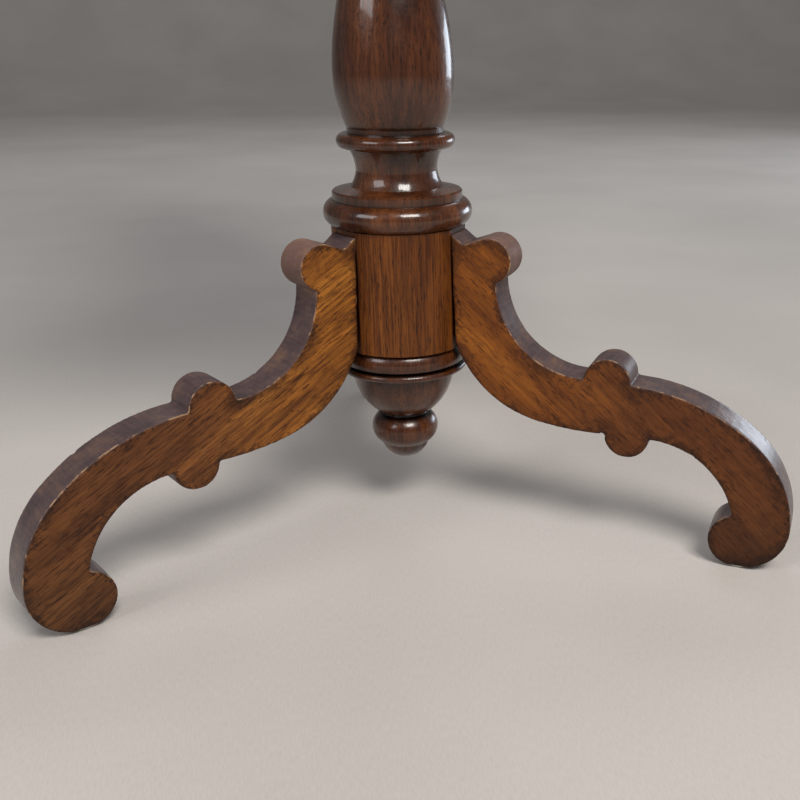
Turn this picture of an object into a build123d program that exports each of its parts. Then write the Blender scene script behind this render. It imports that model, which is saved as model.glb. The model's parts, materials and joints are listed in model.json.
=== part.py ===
"""A Victorian walnut teapoy: a fitted tea chest on a turned column and three scrolled legs.

Millimetres, +Z up. The origin is on the column's axis, on the floor. -Y is the front, where the
key is, and one leg points straight back, along +Y. The chest's lid stands open.
"""
import os
from math import sqrt

from build123d import *

# ---------------------------------------------------------------- driving sizes, mm
# Fits
glue_gap = 0.1          # between glued faces that would otherwise be one curved surface
run_gap = 0.05          # radial clearance of a pin or shaft that turns
clear = 0.4             # between pieces that pass each other by hand
rest_gap = 0.3          # under a piece that stands on something soft

# Base
leg_azimuths = {"leg_rear": 90, "leg_left": 210, "leg_right": 330}
leg_thick = 29.7        # sawn from one board
leg_round = 1.2         # worn arris
leg_gouge = 0.8         # left by the gouge in the outline's inner corners
glide_stand = 2.0       # the glides lift the feet by this
glide_radius = 8.0
glide_nail_radius = 1.2
glide_nail_length = 12.0
glide_out = 3.5         # from the middle of the foot's scroll

block_radius = 50.0     # turned barrel that takes the legs
block_foot = 146.1      # its lower end above the floor
block_height = 90.0

tongue_depth = 16.0     # sliding dovetail on the leg
tongue_neck = 13.0      # its width at the flat
tongue_tail = 19.0      # its width inside the block
tongue_stop = 26.0      # solid wood left above the sockets

# Leg outline: reach is out from the flat on the block, rise is up from the sole
shoulder_gap = 0.3
shoulder_ease = 2.4     # how far the shoulder's foot stands off the flat
shoulder_rise, shoulder_arc = 152.0, 30.0
ear_rise = 231.3        # the leg's top corner, beside the flat
notch_reach, notch_rise = 9.7, 224.0        # V cut between that corner and the scroll
scroll_radius = 16.6    # scroll at the leg's top
scroll_reach, scroll_rise = 29.3, 213.4
throat_reach, throat_rise = 34.8, 198.5     # where the back leaves the scroll
hollow_arc = 66.8       # the back, from scroll to knee
knee_radius = 17.4      # lobe on the leg's back
knee_reach, knee_rise = 120.5, 131.9
lobe_dip = 0.6          # the outline leaves a lobe this much below its middle
lobe_inset = 0.96       # and starts inside the lobe, at this share of its radius
foot_radius = 20.4      # scroll of the foot
foot_reach, foot_rise = 222.7, 19.9
back_out, back_up = 9.5, 75.6               # where the back turns down, from the foot's scroll
back_arc = 145.0
toe_out, toe_up = 37.7, 14.6                # outermost place, from the foot's scroll
sole_flat = 12.5        # the sole's flat, out from the scroll's middle
arch_arc = 65.4         # the underside, from foot to calf
calf_radius = 16.8      # lobe on the underside
calf_reach, calf_rise = 136.8, 91.8
belly_reach, belly_rise, belly_arc = 66.8, 95.0, 215.0
groin_reach, groin_rise = 8.0, 138.3         # where the underside turns up to the block

# Column, measured up from the block
column_length = 300.0   # block to the top of the capital
column_spigot_radius = 14.0
column_spigot_length = 45.0
torus_radius = 55.2
torus_height = 18.8
torus_belly = 0.6       # its widest place, as a share of its height
torus_seat = 6.5        # its foot, in from its radius
disc_radius = 48.2
disc_height = 6.4
disc_round = 1.2
cove_rise, cove_flare, cove_arc = 2.4, 4.5, 22.0        # where the neck's hollow leaves the disc
neck_radius = 29.9
neck_rise = 13.7        # waist of the neck above the disc
collar_rise, collar_flare, collar_arc = 15.0, 4.3, 28.0 # the neck's top, above its waist
collar_step, collar_proud, collar_height = 5.0, 13.3, 10.0
collar_lip, collar_neck = 1.0, 5.3
collar_top = 3.0
baluster_radius = 43.0
baluster_rise = 110.0   # its widest place
shaft_radius, shaft_rise = 32.0, 175.0
necking_radius = 23.7
necking_drop = 70.0     # below the top of the capital
necking_height, necking_step, necking_proud = 9.0, 3.0, 7.0
capital_radius = 58.0
capital_edge = 11.0
capital_step, capital_arc = 8.0, 50.0
capital_round = 2.0
tenon_radius = 15.0
tenon_length = 16.0

# Drop finial, measured down from the block
finial_length = 99.2
finial_spigot_radius = 14.0
finial_spigot_length = 34.0
ring_radius = 49.2
ring_height = 13.6
ring_seat, ring_seat_height, ring_under = 3.5, 1.0, 0.9
groove_radius, groove_height = 44.0, 2.6    # V cut between ring and flange
flange_radius = 50.2
flange_height, flange_lip = 4.6, 1.4
flange_under = 0.8      # its underside rises outward by this
bowl_radius = 40.0      # under the flange
bowl_arc = 46.0
ball_neck_radius, ball_neck_drop, ball_neck_height = 21.0, 58.0, 3.0
drop_ball_radius = 26.4
drop_ball_drop = 72.4   # its widest place
drop_button_radius = 19.2
button_drop = 85.1
button_line = 1.2       # the cut line above the button

# Chest, on a bearer
bearer_width, bearer_depth, bearer_thick = 210.0, 160.0, 20.0
bearer_corner, bearer_round = 18.0, 8.0
bearer_screw_edge = 25.0        # screw to the bearer's edge
chest_width, chest_depth, chest_height = 440.0, 320.0, 146.0
wall = 12.0
bottom_thick = 10.0
base_mould_height, base_mould_proud = 24.0, 12.0
plinth_height, ogee_waist, ogee_lip = 7.0, 13.0, 2.0
ogee_low_arc, ogee_high_arc = 7.0, 11.0

# Lid
lid_gap = 0.4           # daylight between chest and shut lid
rail_height = 34.0
lid_open = 98.0         # degrees from shut to the stand-open rest
lip_proud, lip_thick, lip_corner = 8.0, 6.0, 6.0
cushion_rise = 14.0
cushion_taper = 24.0
cushion_inset, cushion_corner = 1.0, 10.0
bead_height, bead_proud, bead_root = 7.0, 4.0, 1.0
bead_sides = (0, 1, 3)  # front, right and left; the hinges take the back
lining_thick, lining_corner = 6.0, 2.0

# Butt hinges
hinge_spread = 280.0    # between the middles of the chest's two hinges
leaf_length, leaf_width, leaf_thick = 50.0, 10.0, 1.6
knuckle_radius = 3.2
pin_radius = 1.5
knuckle_count = 5
small_leaf_length, small_leaf_width, small_leaf_thick = 26.0, 4.2, 1.0
small_knuckle_radius = 2.0
small_pin_radius = 0.8
small_knuckle_count = 3
small_hinge_spread = 130.0
knuckle_gap = 0.2       # between knuckles, and between a knuckle and the wood

# Wood screws
screw_head_radius, screw_head_height = 2.6, 1.4
screw_radius, screw_length = 1.3, 9.0
bearer_screw_radius, bearer_screw_length = 2.2, 26.0
bearer_screw_head_radius, bearer_screw_head_height = 4.6, 3.0

# Lock, let into the chest's front
lock_width, lock_height, lock_thick = 60.0, 40.0, 10.0
lock_shell = 2.4
lock_roof = 3.2
lock_inside_proud = 1.4
key_drop = 28.0         # key's axis below the chest's rim
bolt_throw = 6.0
link_thick, link_deep, link_wide = 3.0, 11.0, 5.0
link_places = (-12.0, 14.0)
nose_high, nose_wide, nose_reach = 3.0, 2.6, 5.0
bolt_bar, bolt_post = 3.0, 3.0
slot_play = 1.0         # round a link in the case's slot, and ahead of a bolt's nose
link_plate_thick = 2.0
shank_radius = 2.2
bit_drop, bit_thick = 8.0, 2.0
key_stand = 26.0        # shank in front of the key plate
bow_radius, bow_bar = 9.0, 2.6
collar_stand, collar_width, collar_radius = 8.0, 3.0, 3.5
escutcheon_long, escutcheon_wide, escutcheon_thick = 12.0, 9.0, 1.6
escutcheon_drop = 2.0   # its middle, below the key's axis
keyhole_radius, keyhole_slot, keyhole_long = 2.9, 2.6, 9.0

# Fitted inside
deck_drop = 14.0        # deck's top below the rim
deck_thick = 8.0
partition_thick, partition_gap = 6.0, 3.0
pad_thick, pad_inset = 3.0, 2.0
canister_width, canister_depth = 104.0, 210.0
canister_wall, canister_round = 5.0, 1.5
canister_side_gap = 18.0
canister_rise = 4.0     # its rim above the deck
canister_lid_thick = 8.0
canister_lid_plug, plug_play = 3.0, 1.0
foil_thick = 0.8
knob_radius, knob_height = 7.0, 11.0
knob_spigot_radius = 2.0
well_radius = 54.0
well_spread = 136.0
bowl_depth = 72.0
bowl_glass = 3.0
bowl_flange, bowl_flange_round = 6.5, 1.0
bowl_foot_radius, bowl_foot_height = 24.0, 3.0
bowl_side, bowl_curve = 22.0, 60.0   # its upright side, and the arc under it

# ---------------------------------------------------------------- heights and places that follow
leg_seat = sqrt(block_radius**2 - (leg_thick / 2) ** 2)
block_top = block_foot + block_height
column_top = block_top + column_length
chest_floor = column_top + bearer_thick
rim = chest_floor + chest_height
half_w, half_d = chest_width / 2, chest_depth / 2
inner_w, inner_d = chest_width - 2 * wall, chest_depth - 2 * wall
deck_top = rim - deck_drop
pad_top = chest_floor + bottom_thick + pad_thick
canister_rim = deck_top + canister_rise
canister_x = inner_w / 2 - canister_side_gap - canister_width / 2
partition_x = canister_x - canister_width / 2 - clear - partition_thick / 2 - partition_gap
hinge_y, hinge_z = half_d + knuckle_radius + knuckle_gap, rim + lid_gap / 2
lid_axis = Axis((0, hinge_y, hinge_z), (-1, 0, 0))
key_z = rim - key_drop
lock_back = -half_d + wall + lock_inside_proud
lock_front = lock_back - lock_thick

os.makedirs("parts", exist_ok=True)


def save(name, part):
    """Writes one piece, named as a bench hand would name it."""
    part.label = name
    export_step(part, f"parts/{name}.step")


def opened(part):
    """A lid piece drawn shut, swung to the open rest."""
    return part.rotate(lid_axis, lid_open)


def cap_radius(base, height):
    """Radius of the ball that a round cap of this base radius and height is cut from."""
    return (base**2 + height**2) / (2 * height)


# ---------------------------------------------------------------- base
def leg_point(reach, rise):
    """A point of the leg's outline, from its flat on the block and its sole."""
    return (leg_seat + reach, glide_stand + rise)


def dovetail(seat, ease, mouth):
    """Plan of a leg's tongue, or of its socket, opening outward at seat."""
    neck, tail = tongue_neck / 2 - ease, tongue_tail / 2 - ease
    deep = seat - tongue_depth + ease
    return [(seat + mouth, -neck), (seat + mouth, neck), (seat, neck),
            (deep, tail), (deep, -tail), (seat, -neck)]


tongue_top = block_top - tongue_stop
glide_ring = leg_seat + foot_reach + glide_out
ear = leg_point(shoulder_gap, ear_rise)
v_notch = leg_point(notch_reach, notch_rise)
crown = leg_point(scroll_reach - 0.34 * scroll_radius, scroll_rise + 0.93 * scroll_radius)
throat = leg_point(throat_reach, throat_rise)
knee_in = leg_point(knee_reach - lobe_inset * knee_radius, knee_rise + lobe_dip)
knee_out = leg_point(knee_reach + lobe_inset * knee_radius, knee_rise - lobe_dip)
back = leg_point(foot_reach + back_out, foot_rise + back_up)
toe = leg_point(foot_reach + toe_out, foot_rise + toe_up)
sole_out = leg_point(foot_reach + sole_flat, 0)
sole_in = leg_point(foot_reach, 0)
heel = leg_point(foot_reach - 0.23 * foot_radius, foot_rise + 0.97 * foot_radius)
calf_out = leg_point(calf_reach + lobe_inset * calf_radius, calf_rise - lobe_dip)
calf_in = leg_point(calf_reach - lobe_inset * calf_radius, calf_rise - lobe_dip)
belly = leg_point(belly_reach, belly_rise)
groin = leg_point(groin_reach, groin_rise)
shoulder_foot = leg_point(shoulder_gap + shoulder_ease, shoulder_rise)
inner_corners = (v_notch, throat, knee_in, knee_out, heel, calf_out, calf_in)

with BuildPart() as leg:
    with BuildSketch(Plane.XZ) as leg_outline:
        with BuildLine():
            Polyline(shoulder_foot, ear, v_notch, crown, throat)
            RadiusArc(throat, knee_in, -hollow_arc)
            Line(knee_in, knee_out)
            outer = RadiusArc(knee_out, back, back_arc)
            shin = TangentArc(back, toe, tangent=outer % 1)
            TangentArc(toe, sole_out, tangent=shin % 1)
            Polyline(sole_out, sole_in, heel)
            RadiusArc(heel, calf_out, -arch_arc)
            Line(calf_out, calf_in)
            under = RadiusArc(calf_in, belly, belly_arc)
            TangentArc(belly, groin, tangent=under % 1)
            RadiusArc(groin, shoulder_foot, shoulder_arc)
        make_face()
        with Locations(leg_point(scroll_reach, scroll_rise)):
            Circle(scroll_radius)
        with Locations(leg_point(knee_reach, knee_rise)):
            Circle(knee_radius)
        with Locations(leg_point(calf_reach, calf_rise)):
            Circle(calf_radius)
        with Locations(leg_point(foot_reach, foot_rise)):
            Circle(foot_radius)
        with Locations(leg_point(foot_reach, 0)):
            Rectangle(4 * foot_radius, 2 * foot_radius, align=(Align.CENTER, Align.MAX), mode=Mode.SUBTRACT)
        gouged = [leg_outline.vertices().sort_by_distance(place)[0] for place in inner_corners]
        fillet(gouged, radius=leg_gouge)
    extrude(amount=leg_thick / 2, both=True)
    side_faces = leg.faces().filter_by(Axis.Y)
    arrises = [e for f in side_faces for e in f.edges() if e.center().X > leg_seat + 2 * shoulder_ease]
    fillet(arrises, radius=leg_round)
    # sliding dovetail, slid up into the block
    with BuildSketch(Plane.XY.offset(block_foot)):
        Polygon(*dovetail(leg_seat, glue_gap, 0), align=None)
    extrude(amount=tongue_top - block_foot - glue_gap)
    root_foot = shoulder_foot[1] + 2 * shoulder_ease
    with BuildSketch(Plane.XY.offset(root_foot)):
        with Locations((leg_seat + shoulder_ease, 0)):
            Rectangle(2 * shoulder_ease, tongue_neck - 2 * glue_gap)
    extrude(amount=tongue_top - root_foot - glue_gap)
    # pilot for the glide's nail
    with BuildSketch(Plane.XY.offset(glide_stand)):
        with Locations((glide_ring, 0)):
            Circle(glide_nail_radius + run_gap)
    extrude(amount=glide_nail_length + clear, mode=Mode.SUBTRACT)

for name, azimuth in leg_azimuths.items():
    save(name, leg.part.rotate(Axis.Z, azimuth))

with BuildPart() as leg_block:
    with BuildSketch(Plane.XY.offset(block_foot)):
        Circle(block_radius)
        # one flat for each leg, as wide as the leg
        with PolarLocations(leg_seat, 3, start_angle=90):
            Rectangle(block_radius, leg_thick, align=(Align.MIN, Align.CENTER), mode=Mode.SUBTRACT)
    extrude(amount=block_height)
    with BuildSketch(Plane.XY.offset(block_foot)):
        with PolarLocations(0, 3, start_angle=90):
            Polygon(*dovetail(leg_seat, 0, 1), align=None)
    extrude(amount=tongue_top - block_foot, mode=Mode.SUBTRACT)
    with Locations((0, 0, block_top)):
        Hole(column_spigot_radius + glue_gap, depth=column_spigot_length + glue_gap)
    with BuildSketch(Plane.XY.offset(block_foot)):
        Circle(finial_spigot_radius + glue_gap)
    extrude(amount=finial_spigot_length + glue_gap, mode=Mode.SUBTRACT)
save("leg_block", leg_block.part)

# Turned column: torus and fillet on the block, hollow neck and collar, baluster, capital under the chest
torus_top = block_top + torus_height
torus_foot_radius = torus_radius - torus_seat
disc_top = torus_top + disc_height
cove = (neck_radius + cove_flare, disc_top + cove_rise)
waist = (neck_radius, disc_top + neck_rise)
collar_foot = (neck_radius + collar_flare, disc_top + neck_rise + collar_rise)
collar_root = collar_foot[0] + collar_step
collar_bead = collar_foot[1] + collar_lip
collar_head = collar_bead + collar_height + collar_lip
collar_end = (neck_radius + collar_neck, collar_head + collar_top)
shaft_top = column_top - necking_drop
necking_root = necking_radius + necking_step
necking_bead = shaft_top + collar_lip
necking_head = (necking_radius - collar_lip, necking_bead + necking_height + collar_lip)
capital_foot = column_top - capital_edge
capital_hollow = (capital_radius - capital_step, capital_foot - necking_step)
capital_face = capital_radius - capital_round
with BuildPart() as column:
    with BuildSketch(Plane.XZ):
        with BuildLine():
            Polyline((0, block_top - column_spigot_length),
                     (column_spigot_radius, block_top - column_spigot_length),
                     (column_spigot_radius, block_top), (torus_foot_radius, block_top))
            ThreePointArc((torus_foot_radius, block_top), (torus_radius, block_top + torus_belly * torus_height),
                          (disc_radius + disc_round / 2, torus_top))
            Polyline((disc_radius + disc_round / 2, torus_top), (disc_radius, torus_top),
                     (disc_radius, disc_top - disc_round), (disc_radius - disc_round, disc_top), cove)
            RadiusArc(cove, waist, cove_arc)
            RadiusArc(waist, collar_foot, collar_arc)
            Line(collar_foot, (collar_root, collar_bead))
            ThreePointArc((collar_root, collar_bead),
                          (neck_radius + collar_proud, collar_bead + collar_height / 2),
                          (collar_root, collar_bead + collar_height))
            Polyline((collar_root, collar_bead + collar_height), (collar_end[0], collar_head), collar_end)
            Spline(collar_end, (baluster_radius, block_top + baluster_rise),
                   (shaft_radius, block_top + shaft_rise), (necking_radius, shaft_top),
                   tangents=((0.5, 1), (-0.08, 1)))
            Line((necking_radius, shaft_top), (necking_root, necking_bead))
            ThreePointArc((necking_root, necking_bead),
                          (necking_radius + necking_proud, necking_bead + necking_height / 2),
                          (necking_root, necking_bead + necking_height))
            Line((necking_root, necking_bead + necking_height), necking_head)
            RadiusArc(necking_head, capital_hollow, capital_arc)
            Polyline(capital_hollow, (capital_hollow[0], capital_foot), (capital_face, capital_foot))
            ThreePointArc((capital_face, capital_foot), (capital_radius, column_top - capital_edge / 2),
                          (capital_face, column_top))
            Polyline((capital_face, column_top), (tenon_radius, column_top),
                     (tenon_radius, column_top + tenon_length), (0, column_top + tenon_length),
                     (0, block_top - column_spigot_length))
        make_face()
    revolve(axis=Axis.Z)
save("column", column.part)

# Drop finial under the block: ring, groove, flange, bowl, ball and button
spigot_head = block_foot + finial_spigot_length
ring_head = (ring_radius - ring_seat, block_foot - ring_seat_height)
ring_foot = (ring_radius - ring_under, block_foot - ring_height)
flange_head = (flange_radius - flange_lip, ring_foot[1] - groove_height)
flange_foot = (flange_head[0], flange_head[1] - flange_height)
bowl_head = (bowl_radius, flange_foot[1] - flange_under)
ball_neck = (ball_neck_radius, block_foot - ball_neck_drop)
ball_head = (ball_neck_radius - 0.3 * ball_neck_height, ball_neck[1] - ball_neck_height)
button_z = block_foot - button_drop
button_cut = (drop_button_radius + button_line, button_z + button_line)
finial_foot = block_foot - finial_length
with BuildPart() as drop_finial:
    with BuildSketch(Plane.XZ):
        with BuildLine():
            Polyline((0, spigot_head), (finial_spigot_radius, spigot_head),
                     (finial_spigot_radius, block_foot), (ring_head[0], block_foot), ring_head)
            ThreePointArc(ring_head, (ring_radius, block_foot - 0.55 * ring_height), ring_foot)
            Polyline(ring_foot, (groove_radius, ring_foot[1] - groove_height / 2), flange_head)
            ThreePointArc(flange_head, (flange_radius, (flange_head[1] + flange_foot[1]) / 2), flange_foot)
            Line(flange_foot, bowl_head)
            RadiusArc(bowl_head, ball_neck, bowl_arc)
            ThreePointArc(ball_neck, (ball_neck[0] - ball_neck_height, ball_neck[1] - ball_neck_height / 2),
                          ball_head)
            ThreePointArc(ball_head, (drop_ball_radius, block_foot - drop_ball_drop), button_cut)
            Line(button_cut, (drop_button_radius, button_z))
            RadiusArc((drop_button_radius, button_z), (0, finial_foot),
                      cap_radius(drop_button_radius, button_z - finial_foot))
            Line((0, finial_foot), (0, spigot_head))
        make_face()
    revolve(axis=Axis.Z)
save("drop_finial", drop_finial.part)

# Nail-on glides, one under each foot
with BuildPart() as foot_glides:
    with BuildSketch():
        with PolarLocations(glide_ring, 3, start_angle=90):
            Circle(glide_radius)
    extrude(amount=glide_stand)
    chamfer(foot_glides.edges().group_by(Axis.Z)[0], length=glide_stand / 4)
    with BuildSketch(Plane.XY.offset(glide_stand)):
        with PolarLocations(glide_ring, 3, start_angle=90):
            Circle(glide_nail_radius)
    extrude(amount=glide_nail_length)
save("foot_glides", foot_glides.part)

# ---------------------------------------------------------------- fastenings and hinges
def wood_screw(head_radius, head_height, radius, length):
    """Countersunk screw, head up at the origin, shank down."""
    with BuildPart() as screw:
        with BuildSketch(Plane.XZ):
            Polygon((0, 0), (head_radius, 0), (radius, -head_height), (radius, -length + 2 * radius),
                    (0.2 * radius, -length), (0, -length), align=None)
        revolve(axis=Axis.Z)
    return screw.part


def butt_hinge(length, width, thick, knuckle, pin, count, screw_places):
    """Fixed leaf, moving leaf and pin. Axis along X at the origin; the leaves lie shut, towards -Y."""
    pitch = length / count
    half_gap = lid_gap / 2
    leaves = []
    for first, low in ((0, True), (1, False)):
        top, foot = (-half_gap, -half_gap - thick) if low else (half_gap + thick, half_gap)
        with BuildPart() as leaf:
            with Locations((0, -knuckle - knuckle_gap, foot)):
                Box(length, width, thick, align=(Align.CENTER, Align.MAX, Align.MIN))
            for i in range(first, count, 2):
                start = -length / 2 + i * pitch + knuckle_gap / 2
                with BuildSketch(Plane((start, 0, 0), x_dir=(0, 1, 0), z_dir=(1, 0, 0))):
                    Circle(knuckle)
                    with Locations((-knuckle / 2 - knuckle_gap, (top + foot) / 2)):
                        Rectangle(knuckle + 2 * knuckle_gap, thick)
                    Circle(pin + run_gap, mode=Mode.SUBTRACT)
                extrude(amount=pitch - knuckle_gap)
            for x in screw_places:
                with BuildSketch(Plane.XY.offset(top if low else foot)):
                    with Locations((x, -knuckle - knuckle_gap - 0.55 * width)):
                        Circle(screw_head_radius + run_gap)
                extrude(amount=-thick if low else thick, mode=Mode.SUBTRACT)
        leaves.append(leaf.part)
    with BuildPart() as rod:
        with Locations((0, 0, 0)):
            Cylinder(pin, length - knuckle_gap, rotation=(0, 90, 0))
    return leaves[0], leaves[1], rod.part


def mitred_length(side, width, depth, section):
    """One of four mitred pieces round a rectangle. section(out) gives its profile, out from the middle."""
    outward = ((0, -1, 0), (1, 0, 0), (0, 1, 0), (-1, 0, 0))[side]
    run, out = (width / 2, depth / 2) if side % 2 == 0 else (depth / 2, width / 2)
    far, deep = 40.0, 60.0
    tangent = Vector(*outward).cross(Vector(0, 0, 1))
    with BuildPart() as piece:
        with BuildSketch(Plane((0, 0, 0), x_dir=outward, z_dir=tangent)):
            add(section(out))
        extrude(amount=run + far, both=True)
        with BuildSketch(Plane((0, 0, 0), x_dir=outward, z_dir=(0, 0, 1))):
            Polygon((out + far, -run - far), (out + far, run + far), (out - deep, run - deep),
                    (out - deep, deep - run), align=None)
        extrude(amount=4 * chest_floor, mode=Mode.INTERSECT)
    return piece.part


def board(low, high, thick):
    """Section of an upright board whose outer face is flush with the rectangle."""
    def section(out):
        with BuildSketch() as profile:
            with Locations((out - thick, low)):
                Rectangle(thick, high - low, align=(Align.MIN, Align.MIN))
        return profile.sketch
    return section


def group(name, parts):
    """Several separate solids in one node."""
    save(name, Compound(children=parts) if len(parts) > 1 else parts[0])


# ---------------------------------------------------------------- under the chest
screw_x, screw_y = bearer_width / 2 - bearer_screw_edge, bearer_depth / 2 - bearer_screw_edge
screw_grid = [(-screw_x, -screw_y), (-screw_x, screw_y), (screw_x, -screw_y), (screw_x, screw_y)]
with BuildPart() as bearer:
    with BuildSketch(Plane.XY.offset(column_top)):
        RectangleRounded(bearer_width, bearer_depth, bearer_corner)
    extrude(amount=bearer_thick)
    fillet(bearer.edges().group_by(Axis.Z)[0], radius=bearer_round)
    with Locations((0, 0, chest_floor)):
        Hole(tenon_radius + glue_gap)
    with BuildSketch(Plane.XY.offset(column_top)):
        with Locations(*screw_grid):
            Circle(bearer_screw_head_radius + run_gap)
    extrude(amount=bearer_screw_head_height, mode=Mode.SUBTRACT)
    with BuildSketch(Plane.XY.offset(column_top)):
        with Locations(*screw_grid):
            Circle(bearer_screw_radius + run_gap)
    extrude(amount=bearer_thick, mode=Mode.SUBTRACT)
save("bearer", bearer.part)

bearer_screw = wood_screw(bearer_screw_head_radius, bearer_screw_head_height, bearer_screw_radius,
                          bearer_screw_length).rotate(Axis.X, 180)
group("bearer_screws", [bearer_screw.moved(Location((x, y, column_top))) for x, y in screw_grid])

# ---------------------------------------------------------------- chest
with BuildPart() as chest_bottom:
    with BuildSketch(Plane.XY.offset(chest_floor)):
        Rectangle(inner_w - 2 * glue_gap, inner_d - 2 * glue_gap)
        with Locations(*screw_grid):
            Circle(bearer_screw_radius + run_gap, mode=Mode.SUBTRACT)
    extrude(amount=bottom_thick)
save("chest_bottom", chest_bottom.part)

wall_section = board(chest_floor, rim, wall)
hinge_xs = (-hinge_spread / 2, hinge_spread / 2)
leaf_screws = (-0.34 * leaf_length, 0, 0.34 * leaf_length)
leaf_screw_y = half_d - 0.55 * leaf_width

with BuildPart() as chest_front:
    add(mitred_length(0, chest_width, chest_depth, wall_section))
    # mortise for the lock, and the keyhole
    with Locations((0, lock_front - glue_gap, rim)):
        Box(lock_width + 2 * glue_gap, wall, lock_height + glue_gap,
            align=(Align.CENTER, Align.MIN, Align.MAX), mode=Mode.SUBTRACT)
    with BuildSketch(Plane((0, -half_d, key_z), x_dir=(1, 0, 0), z_dir=(0, -1, 0))):
        Circle(keyhole_radius)
        Rectangle(keyhole_slot, keyhole_long, align=(Align.CENTER, Align.MAX))
    extrude(amount=-wall, mode=Mode.SUBTRACT)
save("chest_front", chest_front.part)

with BuildPart() as chest_back:
    add(mitred_length(2, chest_width, chest_depth, wall_section))
    # recesses for the hinge leaves, and pilots for their screws
    for x in hinge_xs:
        with Locations((x, half_d, rim)):
            Box(leaf_length + 2 * glue_gap, leaf_width + glue_gap, leaf_thick, mode=Mode.SUBTRACT,
                align=(Align.CENTER, Align.MAX, Align.MAX))
        for dx in leaf_screws:
            with Locations((x + dx, leaf_screw_y, rim)):
                Hole(screw_radius + run_gap, depth=screw_length + clear)
save("chest_back", chest_back.part)
save("chest_left", mitred_length(3, chest_width, chest_depth, wall_section))
save("chest_right", mitred_length(1, chest_width, chest_depth, wall_section))


def base_section(out):
    """Ogee plinth moulding, thick at the foot."""
    proud, high = out + base_mould_proud, chest_floor + base_mould_height
    plinth = (proud, chest_floor + plinth_height)
    waist = (out + 0.55 * base_mould_proud, chest_floor + ogee_waist)
    lip = (out + ogee_lip, high - ogee_lip)
    with BuildSketch() as profile:
        with BuildLine():
            Polyline((out, high), (out, chest_floor), (proud, chest_floor), plinth)
            RadiusArc(plinth, waist, -ogee_low_arc)
            RadiusArc(waist, lip, ogee_high_arc)
            Polyline(lip, (out + ogee_lip, high), (out, high))
        make_face()
    return profile.sketch


group("base_moulding", [mitred_length(side, chest_width, chest_depth, base_section) for side in range(4)])

# ---------------------------------------------------------------- lid
rail_foot, rail_top = rim + lid_gap, rim + lid_gap + rail_height
rail_section = board(rail_foot, rail_top, wall)
with BuildPart() as lid_front_rail:
    add(mitred_length(0, chest_width, chest_depth, rail_section))
    with Locations((0, (lock_front + lock_back) / 2, rail_foot)):
        Box(lock_width + 2 * glue_gap, lock_thick, 2 * link_plate_thick, mode=Mode.SUBTRACT)
with BuildPart() as lid_back_rail:
    add(mitred_length(2, chest_width, chest_depth, rail_section))
    for x in hinge_xs:
        with Locations((x, half_d, rail_foot)):
            Box(leaf_length + 2 * glue_gap, leaf_width + glue_gap, leaf_thick, mode=Mode.SUBTRACT,
                align=(Align.CENTER, Align.MAX, Align.MIN))
        for dx in leaf_screws:
            with BuildSketch(Plane.XY.offset(rail_foot)):
                with Locations((x + dx, leaf_screw_y)):
                    Circle(screw_radius + run_gap)
            extrude(amount=screw_length + clear, mode=Mode.SUBTRACT)
save("lid_front_rail", opened(lid_front_rail.part))
save("lid_back_rail", opened(lid_back_rail.part))
save("lid_left_rail", opened(mitred_length(3, chest_width, chest_depth, rail_section)))
save("lid_right_rail", opened(mitred_length(1, chest_width, chest_depth, rail_section)))

with BuildPart() as lid_top:
    with BuildSketch(Plane.XY.offset(rail_top)):
        RectangleRounded(chest_width + 2 * lip_proud, chest_depth + 2 * lip_proud, lip_corner)
    extrude(amount=lip_thick)
    fillet(lid_top.edges().group_by(Axis.Z)[-1], radius=0.45 * lip_thick)
    with BuildSketch(Plane.XY.offset(rail_top + lip_thick)):
        RectangleRounded(chest_width - 2 * cushion_inset, chest_depth - 2 * cushion_inset, cushion_corner)
    extrude(amount=cushion_rise, taper=cushion_taper)
    fillet(lid_top.edges().group_by(Axis.Z)[-1], radius=0.6 * cushion_rise)
save("lid_top", opened(lid_top.part))


def bead_section(out):
    """Half-round bead along the foot of the lid's rails."""
    high = rail_foot + bead_height
    with BuildSketch() as profile:
        with BuildLine():
            Polyline((out + bead_root, high), (out, high), (out, rail_foot), (out + bead_root, rail_foot))
            ThreePointArc((out + bead_root, rail_foot), (out + bead_proud, rail_foot + bead_height / 2),
                          (out + bead_root, high))
        make_face()
    return profile.sketch


beads = [mitred_length(side, chest_width, chest_depth, bead_section) for side in bead_sides]
group("lid_moulding", [opened(bead) for bead in beads])

with BuildPart() as lid_lining:
    with BuildSketch(Plane.XY.offset(rail_top)):
        RectangleRounded(inner_w - 2 * clear, inner_d - 2 * clear, lining_corner)
    extrude(amount=-lining_thick)
    fillet(lid_lining.edges().group_by(Axis.Z)[0], radius=0.4 * lining_thick)
save("lid_lining", opened(lid_lining.part))

low_leaf, high_leaf, hinge_pin = butt_hinge(leaf_length, leaf_width, leaf_thick, knuckle_radius, pin_radius,
                                            knuckle_count, leaf_screws)
hinge_spots = [Location((x, hinge_y, hinge_z)) for x in hinge_xs]
group("hinge_leaves_chest", [low_leaf.moved(spot) for spot in hinge_spots])
group("hinge_leaves_lid", [opened(high_leaf.moved(spot)) for spot in hinge_spots])
group("hinge_pins", [hinge_pin.moved(spot) for spot in hinge_spots])

leaf_screw = wood_screw(screw_head_radius, screw_head_height, screw_radius, screw_length)
screw_spots = [(x + dx, leaf_screw_y) for x in hinge_xs for dx in leaf_screws]
group("hinge_screws_chest", [leaf_screw.moved(Location((x, y, rim))) for x, y in screw_spots])
lid_screw = leaf_screw.rotate(Axis.X, 180)
group("hinge_screws_lid", [opened(lid_screw.moved(Location((x, y, rail_foot)))) for x, y in screw_spots])

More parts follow.
